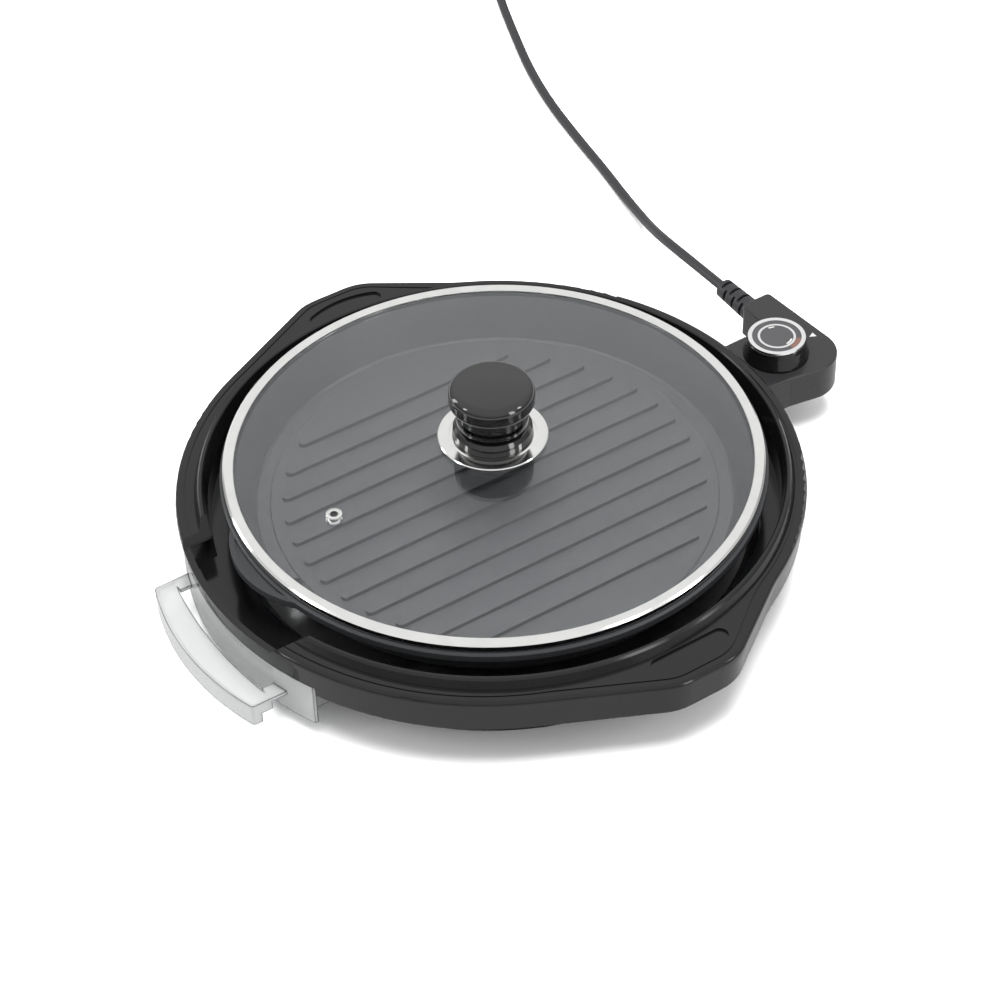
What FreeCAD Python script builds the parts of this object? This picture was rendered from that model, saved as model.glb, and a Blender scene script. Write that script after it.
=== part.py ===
import FreeCAD, Part
import math
import os

import Sketcher
from FreeCAD import Placement, Rotation, Vector

# A round electric griddle: a base with two side handles, a lift-out grill plate,
# a domed glass lid, a pull-out drip tray and a plug-in thermostat with its lead.
# Origin: centre of the plane that the foot ring stands on. +Z up, the drip tray faces
# -Y, the thermostat sits at +Y and the handles lie along X. Millimetres.

SHEET_NAME = "Sizes"

# The sizes, written to the sheet one by one. A number stands by itself; a text
# is a formula over the sizes above it, so that what fits together moves together.
DIMENSIONS = {
    # Fits
    "running": 0.05,
    "seat": 0.1,
    "free_gap": 0.3,
    # Levels above the table
    "wall": 2.5,
    "steel": 0.8,
    "foot_height": 6.0,
    "cover_thickness": 2.0,
    "tray_space": 15.5,
    "bowl_floor_level": "foot_height + cover_thickness + tray_space",
    "element_lift": 5.0,
    "element_level": "bowl_floor_level + wall + element_lift",
    "well_lift": 10.5,
    "skirt_level": "bowl_floor_level + well_lift",
    "plate_lift": 6.1,
    "plate_level": "element_level + plate_lift",
    "skirt_height": 16.5,
    "rim_level": "skirt_level + skirt_height",
    "rim_thickness": 5.5,
    "ridge_height": 6.0,
    # Grill plate
    "plate_radius": 162.0,
    "plate_rim_width": 8.0,
    "plate_mouth": "plate_radius - plate_rim_width",
    "plate_slant": 12.0,
    "plate_floor_radius": "plate_mouth - plate_slant",
    "gutter_width": 8.0,
    "plate_depth": 29.7,
    "plate_thickness": 3.0,
    "rib_pitch": 18.3,
    "rib_width": 6.0,
    "rib_height": 2.6,
    "rib_inset": 16.0,
    "rib_circle": "plate_floor_radius - rib_inset",
    "rib_side_room": 20.0,
    "spout_radius": 60.0,
    "spout_lip": 8.5,
    "spout_reach": "plate_radius + spout_lip",
    "drain_radius": 4.5,
    "drain_inset": 4.0,
    "drain_offset": "plate_floor_radius - drain_inset",
    # Base, seen from above
    "bowl_radius": "plate_radius",
    "well_width": 8.0,
    "well_radius": "bowl_radius + well_width",
    "well_lip": 0.3,
    "ridge_lean": 2.1,
    "ridge_radius": "well_radius + well_lip + ridge_lean",
    "ridge_width": 5.6,
    "band_width": 9.0,
    "outline_radius": "ridge_radius + ridge_width + band_width",
    "outline_shift": 2.5,
    "handle_length": 17.0,
    "handle_reach": "outline_radius + handle_length",
    "handle_inset": 20.0,
    "handle_root": "outline_radius - handle_inset",
    "handle_half": 20.0,
    "handle_shift": 8.0,
    "handle_corner": 34.0,
    "handle_blend": 110.0,
    "grip_inset": 24.5,
    "grip_half": 38.0,
    "grip_radius": 58.0,
    "skirt_inset": 1.6,
    "skirt_inner": "outline_radius - skirt_inset - wall",
    "bay_half": 50.0,
    "bay_slope": 12.0,
    "bay_start": "bowl_radius - 12",
    "foot_width": 10.0,
    "foot_inset": 26.0,
    "foot_circle": "bowl_radius - foot_inset",
    "screw_radius": 1.5,
    "screw_inset": 11.0,
    "screw_circle": "bowl_radius - screw_inset",
    "screw_clear": 9.5,
    # Heater
    "element_radius": 3.3,
    "element_inset": 38.0,
    "element_loop": "plate_floor_radius - element_inset",
    "element_bend": 16.0,
    "element_end": "bowl_radius - 12",
    "post_gap": 22.0,
    "post_circle": "element_loop + post_gap",
    # Lid
    "lid_gap": 0.3,
    "lid_inset": 2.0,
    "lid_radius": "plate_radius - lid_inset",
    "glass_thickness": 3.3,
    "lid_ring_height": "steel + glass_thickness + steel",
    "lid_ring_width": 6.6,
    "dome_rise": 15.0,
    "vent_inset": 51.0,
    "vent_offset": "lid_radius - vent_inset",
    "vent_radius": 5.0,
    "knob_neck_radius": 21.0,
    "knob_flare": 4.4,
    "knob_radius": "knob_neck_radius + knob_flare",
    "knob_foot_flare": 3.0,
    "knob_foot_radius": "knob_neck_radius + knob_foot_flare",
    "flange_margin": 8.7,
    "flange_radius": "knob_foot_radius + flange_margin",
    "knob_collar_height": 20.5,
    "knob_cap_height": 16.0,
    "knob_height": "knob_collar_height + knob_cap_height",
    "lid_screw_radius": 2.5,
    # Drip tray
    "tray_half": 66.0,
    "tray_back": 36.0,
    "tray_wall": 2.0,
    "tray_gap": 2.3,
    "tray_level": "foot_height + cover_thickness + tray_gap",
    "door_gap": 2.5,
    "rail_width": 2.4,
    "panel_side": 10.0,
    "panel_half": "tray_half + panel_side",
    "panel_lap": 5.2,
    "panel_top": "skirt_level + panel_lap",
    "bar_inset": 8.0,
    "bar_half": "tray_half - bar_inset",
    "bar_length": 24.0,
    "bar_reach": "outline_radius + bar_length",
    "bar_radius": 174.0,
    "finger_gap": 7.2,
    "bar_inner": "outline_radius + finger_gap",
    "bar_inner_radius": 283.0,
    "bar_height": 14.7,
    "bar_level": "tray_level + bar_height",
    "bar_deck": 2.4,
    # Thermostat
    "control_drop": 7.0,
    "control_bottom": "element_level - control_drop",
    "neck_clear": 0.4,
    "control_height": "rim_level - wall - neck_clear - control_bottom",
    "control_wall": 2.2,
    "pin_radius": 2.2,
    "pin_spacing": 28.0,
    "sleeve_wall": 1.2,
    "switch_gap": 0.4,
    "switch_half": "pin_spacing / 2 - pin_radius - sleeve_wall - switch_gap",
    "neck_margin": 10.0,
    "neck_half": "pin_spacing / 2 + neck_margin",
    "neck_gap": 2.1,
    "neck_front": "well_radius + wall + neck_gap",
    "neck_length": 48.4,
    "arm_front": "neck_front + neck_length",
    "arm_width": 21.5,
    "control_back": "arm_front + arm_width",
    "arm_end": 51.0,
    "control_flare": 9.5,
    "control_side": "neck_half + control_flare",
    "back_bulge": 5.5,
    "control_corner": 22.0,
    "probe_radius": 3.0,
    "probe_entry": 43.0,
    "probe_tip": "bowl_radius - probe_entry",
    "dial_setback": 36.4,
    "dial_offset": "neck_front + dial_setback",
    "dial_radius": 18.6,
    "dial_flare": 1.9,
    "dial_height": 13.4,
    "pointer_gap": 7.9,
    "shaft_radius": 3.0,
    "relief_radius": 7.5,
    "relief_length": 31.0,
    # Lead
    "cord_radius": 3.25,
    "coil_mean_radius": 36.0,
    "coil_turns_wide": 2,
    "coil_turns_high": 2,
    "plug_pin_radius": 2.4,
    "plug_pin_length": 19.0,
    "plug_pin_spacing": 19.0,
}

# The lead's route between the strain relief and the coil, by hand: it leaves the
# relief level, sags to the table and runs on in one loose bend.
CORD_ROUTE = [
    (-82.0, 233.0, 36.0),
    (-110.0, 232.6, 36.0),
    (-143.0, 235.5, 31.5),
    (-173.0, 243.5, 21.5),
    (-203.0, 254.0, 11.0),
    (-236.0, 263.5, 4.0),
    (-273.0, 271.0, 3.3),
    (-318.0, 278.0, 3.3),
    (-366.0, 287.0, 3.3),
    (-412.0, 300.0, 3.3),
    (-456.0, 316.5, 3.3),
    (-500.0, 333.5, 3.3),
    (-542.0, 353.6, 3.3),
]
# The lead's last stretch, from the coil to the plug, lying on the table.
LEAD_ROUTE = [
    (-535.3, 426.9, 3.3),
    (-520.9, 430.8, 3.6),
    (-506.0, 433.0, 5.6),
    (-491.0, 434.5, 7.6),
]
COIL_CENTRE = (-525.1, 389.0)

# How far the front bay's cutting wedge runs out past the bowl, and how tall the
# cylinders are that stand in for "everything inside a radius".
BAY_LENGTH = 90.0
TALL = 60.0


class Size:
    """A length with its value and the expression that gives it from the sheet."""

    def __init__(self, value, text):
        self.value = value
        self.text = text

    def __add__(self, other):
        other = as_size(other)
        return Size(self.value + other.value, f"({self.text} + {other.text})")

    def __radd__(self, other):
        return as_size(other) + self

    def __sub__(self, other):
        other = as_size(other)
        return Size(self.value - other.value, f"({self.text} - {other.text})")

    def __rsub__(self, other):
        return as_size(other) - self

    def __mul__(self, other):
        other = as_size(other)
        return Size(self.value * other.value, f"({self.text} * {other.text})")

    def __rmul__(self, other):
        return as_size(other) * self

    def __truediv__(self, other):
        other = as_size(other)
        return Size(self.value / other.value, f"({self.text} / {other.text})")

    def __neg__(self):
        return Size(-self.value, f"(0 - {self.text})")

    def root(self):
        """The square root."""
        return Size(math.sqrt(self.value), f"sqrt({self.text})")


def as_size(number):
    """A plain number as a Size."""
    if isinstance(number, Size):
        return number
    return Size(float(number), f"{float(number):.6f}")


class Sizes:
    """The sheet's driving dimensions, each as an attribute that is a Size."""

    def __init__(self, doc):
        sheet = doc.addObject("Spreadsheet::Sheet", SHEET_NAME)
        for row, (name, content) in enumerate(DIMENSIONS.items(), start=1):
            sheet.set(f"A{row}", name)
            sheet.set(f"B{row}", f"={content}" if isinstance(content, str) else str(content))
            sheet.setAlias(f"B{row}", name)
        doc.recompute()
        for name in DIMENSIONS:
            setattr(self, name, Size(float(sheet.get(name)), f"{SHEET_NAME}.{name}"))


doc = FreeCAD.newDocument("Griddle")
s = Sizes(doc)
nodes = []


# ---------------------------------------------------------------- helpers


def bind(obj, name, size):
    """Sets a property and ties it to the sheet."""
    size = as_size(size)
    obj.setExpression(name, size.text)


def place(obj, at, rotation=None):
    """Puts an object at a point given in Sizes, turned by a Rotation."""
    x, y, z = (as_size(v) for v in at)
    turn = rotation or Rotation()
    obj.Placement = Placement(Vector(x.value, y.value, z.value), turn)
    for letter, size in zip("xyz", (x, y, z)):
        obj.setExpression(f"Placement.Base.{letter}", size.text)
    return obj


ALONG = {
    "Z": Rotation(),
    "X": Rotation(Vector(0, 1, 0), 90),
    "-X": Rotation(Vector(0, 1, 0), -90),
    "Y": Rotation(Vector(1, 0, 0), -90),
}


def cylinder(label, radius, height, at, along="Z"):
    """A cylinder that starts at a point and runs along an axis."""
    obj = doc.addObject("Part::Cylinder", label)
    bind(obj, "Radius", radius)
    bind(obj, "Height", height)
    return place(obj, at, ALONG[along])


def cone(label, radius_low, radius_high, height, at, along="Z"):
    """A cone frustum that starts at a point and runs along an axis."""
    obj = doc.addObject("Part::Cone", label)
    bind(obj, "Radius1", radius_low)
    bind(obj, "Radius2", radius_high)
    bind(obj, "Height", height)
    return place(obj, at, ALONG[along])


def box(label, low, high):
    """A box between two corners."""
    obj = doc.addObject("Part::Box", label)
    for name, start, end in zip(("Length", "Width", "Height"), low, high):
        bind(obj, name, as_size(end) - as_size(start))
    return place(obj, low)


def cut(label, base, *tools):
    """The base without the tools."""
    tool = tools[0] if len(tools) == 1 else fuse(f"{label}_tools", *tools)
    obj = doc.addObject("Part::Cut", label)
    obj.Base = base
    obj.Tool = tool
    obj.Refine = True
    return obj


def fuse(label, *parts):
    """The union of several objects."""
    obj = doc.addObject("Part::MultiFuse", label)
    obj.Shapes = list(parts)
    obj.Refine = True
    return obj


def common(label, *parts):
    """What several objects share."""
    obj = doc.addObject("Part::MultiCommon", label)
    obj.Shapes = list(parts)
    return obj


def group(label, *parts):
    """Separate solids kept in one node."""
    obj = doc.addObject("Part::Compound", label)
    obj.Links = list(parts)
    return obj


def node(obj, label=None):
    """Marks an object as one of the parts that are written out."""
    if label:
        obj.Label = label
    nodes.append(obj)
    return obj


def origin_plane(body, role):
    """One of a body's own origin planes, by its role."""
    for feature in body.Origin.OriginFeatures:
        if feature.Role == role:
            return feature
    raise ValueError(role)


def closed_sketch(body, name, role, points, arcs=None, level=0):
    """A closed outline through points of Sizes, with its corners tied to the sheet.

    arcs maps the index of a corner to (radius, turn): the outline goes on from
    that corner along an arc, anticlockwise when turn is 1 and clockwise when -1.
    """
    arcs = arcs or {}
    sketch = body.newObject("Sketcher::SketchObject", name)
    sketch.AttachmentSupport = [(origin_plane(body, role), "")]
    sketch.MapMode = "FlatFace"
    level = as_size(level)
    sketch.AttachmentOffset = Placement(Vector(0, 0, level.value), Rotation())
    sketch.setExpression("AttachmentOffset.Base.z", level.text)
    corners = [(as_size(x), as_size(y)) for x, y in points]
    count = len(corners)
    ends = []
    for i, (x, y) in enumerate(corners):
        x2, y2 = corners[(i + 1) % count]
        start = Vector(x.value, y.value, 0)
        end = Vector(x2.value, y2.value, 0)
        if i not in arcs:
            sketch.addGeometry(Part.LineSegment(start, end), False)
            ends.append((1, 2))
            continue
        radius, turn = as_size(arcs[i][0]), arcs[i][1]
        half = (end - start) * 0.5
        rise = math.sqrt(radius.value**2 - half.Length**2)
        side = Vector(-half.y, half.x, 0).normalize() * turn
        centre = start + half + side * rise
        first, last = (start, end) if turn == 1 else (end, start)
        low = math.atan2(first.y - centre.y, first.x - centre.x)
        high = math.atan2(last.y - centre.y, last.x - centre.x)
        circle = Part.Circle(centre, Vector(0, 0, 1), radius.value)
        sketch.addGeometry(Part.ArcOfCircle(circle, low, high), False)
        ends.append((1, 2) if turn == 1 else (2, 1))
    for i in range(count):
        following = (i + 1) % count
        sketch.addConstraint(
            Sketcher.Constraint("Coincident", i, ends[i][1], following, ends[following][0])
        )
    for i, (x, y) in enumerate(corners):
        for kind, size in (("DistanceX", x), ("DistanceY", y)):
            index = sketch.addConstraint(
                Sketcher.Constraint(kind, -1, 1, i, ends[i][0], size.value)
            )
            sketch.setExpression(f"Constraints[{index}]", size.text)
    for i, (radius, _) in arcs.items():
        index = sketch.addConstraint(
            Sketcher.Constraint("Radius", i, as_size(radius).value)
        )
        sketch.setExpression(f"Constraints[{index}]", as_size(radius).text)
    return sketch


def turned(label, points, arcs=None, at=(0, 0, 0)):
    """A body turned about the Z axis from an outline of (radius, height) corners."""
    body = doc.addObject("PartDesign::Body", label)
    sketch = closed_sketch(body, f"{label}_outline", "XZ_Plane", points, arcs)
    turn = body.newObject("PartDesign::Revolution", f"{label}_turn")
    turn.Profile = sketch
    turn.ReferenceAxis = (sketch, ["V_Axis"])
    turn.Angle = 360.0
    body.Tip = turn
    return place(body, at)


def padded(label, points, low, high, arcs=None, rounds=()):
    """A body raised from an outline seen from above, with rounded upright edges.

    rounds is a list of (radius, corners): the upright edges nearest to those
    corners of the outline get that radius.
    """
    body = doc.addObject("PartDesign::Body", label)
    sketch = closed_sketch(body, f"{label}_outline", "XY_Plane", points, arcs, low)
    pad = body.newObject("PartDesign::Pad", f"{label}_pad")
    pad.Profile = sketch
    height = as_size(high) - as_size(low)
    pad.Length = height.value
    bind(pad, "Length", height)
    body.Tip = pad
    for number, (radius, corners) in enumerate(rounds):
        doc.recompute()
        picked = []
        for x, y in corners:
            spot = Vector(as_size(x).value, as_size(y).value, 0)
            picked.append(upright_edge(body.Tip.Shape, spot))
        round_edges(body, f"{label}_round{number}", picked, radius)
    return body


def upright_edge(shape, spot):
    """The name of the upright edge nearest to a spot seen from above."""
    best = None
    for i, edge in enumerate(shape.Edges, start=1):
        ends = [v.Point for v in edge.Vertexes]
        if len(ends) < 2 or abs(ends[0].z - ends[1].z) < 0.5:
            continue
        if math.hypot(ends[0].x - ends[1].x, ends[0].y - ends[1].y) > 0.01:
            continue
        away = math.hypot(ends[0].x - spot.x, ends[0].y - spot.y)
        if best is None or away < best[0]:
            best = (away, f"Edge{i}")
    return best[1]


def round_edges(body, name, edges, radius):
    """Rounds named edges of a body's last feature."""
    base = body.Tip
    fillet = body.newObject("PartDesign::Fillet", name)
    fillet.Base = (base, edges)
    fillet.Radius = as_size(radius).value
    bind(fillet, "Radius", radius)
    body.Tip = fillet
    doc.recompute()
    return fillet


def level_edges(shape, level, test=None):
    """The names of the edges that lie wholly at one height and pass a test."""
    picked = []
    for i, edge in enumerate(shape.Edges, start=1):
        bounds = edge.BoundBox
        if abs(bounds.ZMin - level) > 0.01 or abs(bounds.ZMax - level) > 0.01:
            continue
        if test is None or test(edge):
            picked.append(f"Edge{i}")
    return picked


def round_level(body, name, level, radius, test=None):
    """Rounds the edges of a body that lie at one height."""
    doc.recompute()
    picked = level_edges(body.Tip.Shape, as_size(level).value, test)
    return round_edges(body, name, picked, radius)


def ring(label, radius_in, radius_out, low, high, at=(0, 0)):
    """A plain ring between two heights."""
    outer = cylinder(f"{label}_outer", radius_out, as_size(high) - low, (*at, low))
    inner = cylinder(f"{label}_inner", radius_in, as_size(high) - low, (*at, low))
    return cut(label, outer, inner)


def around(count, radius, start=0.0):
    """Points evenly spaced on a circle, as pairs of Sizes."""
    spots = []
    for k in range(count):
        angle = math.radians(start + 360.0 * k / count)
        spots.append((radius * math.cos(angle), radius * math.sin(angle)))
    return spots


# ---------------------------------------------------------------- base


rim_top = s.rim_level + s.rim_thickness
ridge_top = rim_top + s.ridge_height
cover_level = s.foot_height
cover_top = cover_level + s.cover_thickness
bowl_inner = s.bowl_radius - s.wall
floor_top = s.bowl_floor_level + s.wall
well_radius = s.well_radius
shelf_top = s.skirt_level + s.wall - 0.5
flange_level = s.rim_level - s.wall


def outline_points(inset):
    """The base's outline from above, moved in by an inset, and its two arcs."""
    radius = s.outline_radius - inset
    root = s.handle_root
    reach = s.handle_reach - inset
    rise = (radius * radius - root * root).root()
    front = -s.outline_shift - rise
    back = rise - s.outline_shift
    low = s.handle_shift - s.handle_half + inset * 0.3
    high = s.handle_shift + s.handle_half - inset * 0.3
    points = [
        (root, front),
        (reach, low),
        (reach, high),
        (root, back),
        (-root, back),
        (-reach, high),
        (-reach, low),
        (-root, front),
    ]
    return points, {3: (radius, 1), 7: (radius, 1)}


def outline_body(label, inset, low, high):
    """A slab with the base's outline."""
    points, arcs = outline_points(as_size(inset))
    rounds = [
        (s.handle_corner - inset, [points[i] for i in (1, 2, 5, 6)]),
        (s.handle_blend, [points[i] for i in (0, 3, 4, 7)]),
    ]
    return padded(label, points, low, high, arcs, rounds)


def bay_tool(label, low, high, margin, radius):
    """The front bay where the ridge dips: a wedge that widens upwards."""
    half = s.bay_half + margin
    spread = s.bay_slope * (as_size(high) - low) / (ridge_top - s.rim_level)
    body = doc.addObject("PartDesign::Body", f"{label}_wedge")
    points = [(-half, low), (half, low), (half + spread, high), (-half - spread, high)]
    sketch = closed_sketch(body, f"{label}_outline", "XZ_Plane", points, level=s.bay_start)
    pad = body.newObject("PartDesign::Pad", f"{label}_pad")
    pad.Profile = sketch
    pad.Length = BAY_LENGTH
    body.Tip = pad
    disc = cylinder(
        f"{label}_disc", radius, as_size(high) - low, (0, -s.outline_shift, low)
    )
    return common(label, body, disc)


def make_base_rim():
    """The upper frame: band, raised ridge, the two handles and the front dip."""
    band = outline_body("rim_band", 0, s.rim_level, rim_top)
    round_level(band, "rim_edge", rim_top, 2.6)
    ridge = turned(
        "rim_ridge",
        [
            (well_radius + s.well_lip, s.rim_level),
            (s.ridge_radius + s.ridge_width, s.rim_level),
            (s.ridge_radius + s.ridge_width, rim_top + 0.2),
            (s.ridge_radius + 3.4, ridge_top - 1.2),
            (s.ridge_radius + 2.3, ridge_top),
            (s.ridge_radius + 0.7, ridge_top),
            (s.ridge_radius, ridge_top - 0.7),
        ],
    )
    mouth = turned(
        "rim_mouth",
        [
            (0, s.rim_level - 1),
            (well_radius + s.well_lip, s.rim_level - 1),
            (well_radius + s.well_lip, s.rim_level),
            (s.ridge_radius, ridge_top - 0.7),
            (s.ridge_radius, ridge_top + 1),
            (0, ridge_top + 1),
        ],
    )
    groove_out = outline_body("border_out", 5.2, rim_top - 0.6, rim_top + 1)
    groove_in = outline_body("border_in", 6.1, rim_top - 0.8, rim_top + 1.2)
    border = cut("rim_border", groove_out, groove_in)
    pockets = [grip_pocket("grip_pocket_right", 1), grip_pocket("grip_pocket_left", -1)]
    dip = bay_tool("rim_dip", s.rim_level + 1.3, ridge_top + 1, 0, s.outline_radius + 5)
    bay = bay_tool("rim_bay", s.rim_level - 1, s.rim_level + 2, 0, s.skirt_inner)
    blank = cut("rim_blank", band, mouth, border, *pockets)
    whole = fuse("rim_whole", blank, ridge)
    return node(cut("base_rim", whole, dip, bay))


def grip_pocket(label, side):
    """The shallow recess on top of a handle: straight inside, curved outside."""
    inner = s.handle_reach - s.grip_inset
    half = s.grip_half
    outer_radius = s.grip_radius
    low = (side * inner, s.handle_shift - half)
    high = (side * inner, s.handle_shift + half)
    points = [low, high] if side < 0 else [high, low]
    body = padded(
        label, points, rim_top - 1.4, rim_top + 2, {1: (outer_radius, 1)}, []
    )
    doc.recompute()
    tips = [upright_edge(body.Tip.Shape, Vector(as_size(x).value, as_size(y).value, 0))
            for x, y in points]
    round_edges(body, f"{label}_tips", tips, 5.0)
    return body


def make_base_housing():
    """The bowl, the well around the plate and the skirt under the rim."""
    bowl = turned(
        "housing_bowl",
        [
            (0, s.bowl_floor_level),
            (bowl_inner, s.bowl_floor_level),
            (bowl_inner, cover_level),
            (s.bowl_radius, cover_level),
            (s.bowl_radius, s.skirt_level - 0.5),
            (well_radius + s.wall, s.skirt_level - 0.5),
            (well_radius + s.wall, flange_level),
            (well_radius + s.wall + 6, flange_level),
            (well_radius + s.wall + 6, s.rim_level),
            (well_radius + s.well_lip, s.rim_level),
            (well_radius - 0.5, shelf_top),
            (bowl_inner, shelf_top),
            (bowl_inner, floor_top),
            (0, floor_top),
        ],
    )
    skirt_out = outline_body("skirt_outer", s.skirt_inset, s.skirt_level, s.rim_level)
    skirt_in = outline_body(
        "skirt_inner", s.skirt_inset + s.wall, s.skirt_level - 1, flange_level
    )
    well = cylinder(
        "skirt_well", well_radius + s.wall / 2, TALL, (0, 0, s.skirt_level - 1)
    )
    skirt = cut("skirt", skirt_out, skirt_in, well)
    inner_reach = s.skirt_inner
    bay_shell = bay_tool(
        "bay_shell", s.skirt_level - 0.5, flange_level + 1, s.wall, inner_reach - 0.2
    )
    lip_shell = bay_tool("bay_lip", flange_level, s.rim_level, s.wall, inner_reach + 0.5)
    bay_clear = cylinder(
        "bay_clear", well_radius + s.wall / 2, TALL, (0, 0, s.skirt_level - 1)
    )
    bay_walls = cut("bay_walls", fuse("bay_solid", bay_shell, lip_shell), bay_clear)
    solid = fuse("housing_solid", bowl, skirt, bay_walls)
    bay_room = bay_tool(
        "bay_room", shelf_top, s.rim_level + 1, 0, inner_reach - 0.2 - s.wall
    )
    step_room = bay_tool(
        "bay_step", s.panel_top + s.free_gap + s.wall, s.rim_level + 1, 0, inner_reach
    )
    keep_bowl = cylinder("bay_keep", s.bowl_radius + 5, TALL, (0, 0, s.skirt_level - 1))
    bay_hollow = cut("bay_hollow", fuse("bay_rooms", bay_room, step_room), keep_bowl)
    tray_top = s.bowl_floor_level - 0.4
    tray_door = box(
        "tray_door",
        (-s.tray_half - s.door_gap, -s.outline_radius, cover_top),
        (s.tray_half + s.door_gap, -s.element_loop, tray_top),
    )
    panel_notch = box(
        "panel_notch",
        (-s.panel_half - 2, -s.outline_radius - 10, s.skirt_level - 2),
        (s.panel_half + 2, -s.element_loop, s.panel_top + s.free_gap),
    )
    notch_keep = cylinder(
        "notch_keep", inner_reach - 0.1, TALL, (0, -s.outline_shift, 0)
    )
    notch = cut("skirt_notch", panel_notch, notch_keep)
    neck_notch = box(
        "neck_notch",
        (-s.neck_half - 2.5, well_radius + s.wall, s.skirt_level - 2),
        (s.neck_half + 2.5, s.outline_radius + 5, flange_level),
    )
    drain = cylinder("housing_drain", s.drain_radius + 2, 10, (0, -s.drain_offset, 20))
    holes = [
        cylinder(f"housing_pin_hole{k}", s.pin_radius + 0.4, 30, (x, s.element_end, s.element_level), "Y")
        for k, x in enumerate((-s.pin_spacing / 2, s.pin_spacing / 2))
    ]
    probe = cylinder(
        "housing_probe_hole", s.probe_radius + 0.5, 30, (0, s.element_end, s.element_level), "Y"
    )
    bosses = []
    bores = []
    for k, (x, y) in enumerate(screw_spots()):
        bosses.append(
            cylinder(f"boss{k}", 4.5, s.bowl_floor_level - cover_top + 0.5, (x, y, cover_top))
        )
        bores.append(cylinder(f"boss_bore{k}", s.screw_radius + s.running, 12, (x, y, cover_top - 1)))
    shell = cut(
        "housing_shell", solid, bay_hollow, tray_door, notch, neck_notch, drain, probe, *holes
    )
    bossed = fuse("housing_bossed", shell, *bosses)
    return node(cut("base_housing", bossed, *bores))


def screw_spots():
    """The six base screws: one at each side and four beside the drip tray's way."""
    x = s.tray_half + s.screw_clear
    y = (s.screw_circle * s.screw_circle - x * x).root()
    return [(s.screw_circle, 0), (x, y), (-x, y), (-s.screw_circle, 0), (-x, -y), (x, -y)]


def make_bottom():
    """The bottom cover with the tray's rails, its screws and the foot ring."""
    disc = cylinder(
        "cover_disc", bowl_inner - s.free_gap, s.cover_thickness, (0, 0, cover_level)
    )
    door = box("cover_door", (-s.tray_half - s.door_gap, -s.outline_radius, cover_level - 1),
               (s.tray_half + s.door_gap, -s.bowl_radius + 14, cover_top + 1))
    rails = []
    for k, side in enumerate((-1, 1)):
        x = side * (s.tray_half + s.rail_width)
        rails.append(
            box(
                f"rail{k}",
                (x - s.rail_width / 2, 34 - s.bowl_radius, cover_top - 0.5),
                (x + s.rail_width / 2, 6 - s.tray_back, cover_top + 8),
            )
        )
    vents = []
    for k in range(-4, 5):
        vents.append(
            box(f"vent{k + 4}", (k * 14 - 2, 30, cover_level - 1), (k * 14 + 2, 100, cover_top + 1))
        )
    screw_holes = []
    screws = []
    for k, (x, y) in enumerate(screw_spots()):
        screw_holes.append(
            cylinder(f"cover_hole{k}", s.screw_radius + s.running, 8, (x, y, cover_level - 2))
        )
        shank = cylinder(f"screw_shank{k}", s.screw_radius, 12, (x, y, cover_level - 1.9))
        head = cylinder(f"screw_head{k}", 3.2, 1.9, (x, y, cover_level - 1.9))
        slot = box(f"screw_slot{k}", (x - 2.4, y - 0.4, cover_level - 2.5),
                   (x + 2.4, y + 0.4, cover_level - 1.2))
        screws.append(cut(f"screw{k}", fuse(f"screw_blank{k}", shank, head), slot))
    cover = fuse("cover_blank", cut("cover_plate", disc, door, *vents), *rails)
    node(cut("bottom_cover", cover, *screw_holes))
    node(group("base_screws", *screws))
    inner = s.foot_circle - s.foot_width / 2
    outer = s.foot_circle + s.foot_width / 2
    node(
        turned(
            "foot_ring",
            [
                (inner, 1.2),
                (inner + 1.2, 0),
                (outer - 1.2, 0),
                (outer, 1.2),
                (outer, s.foot_height),
                (inner, s.foot_height),
            ],
        )
    )


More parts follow.
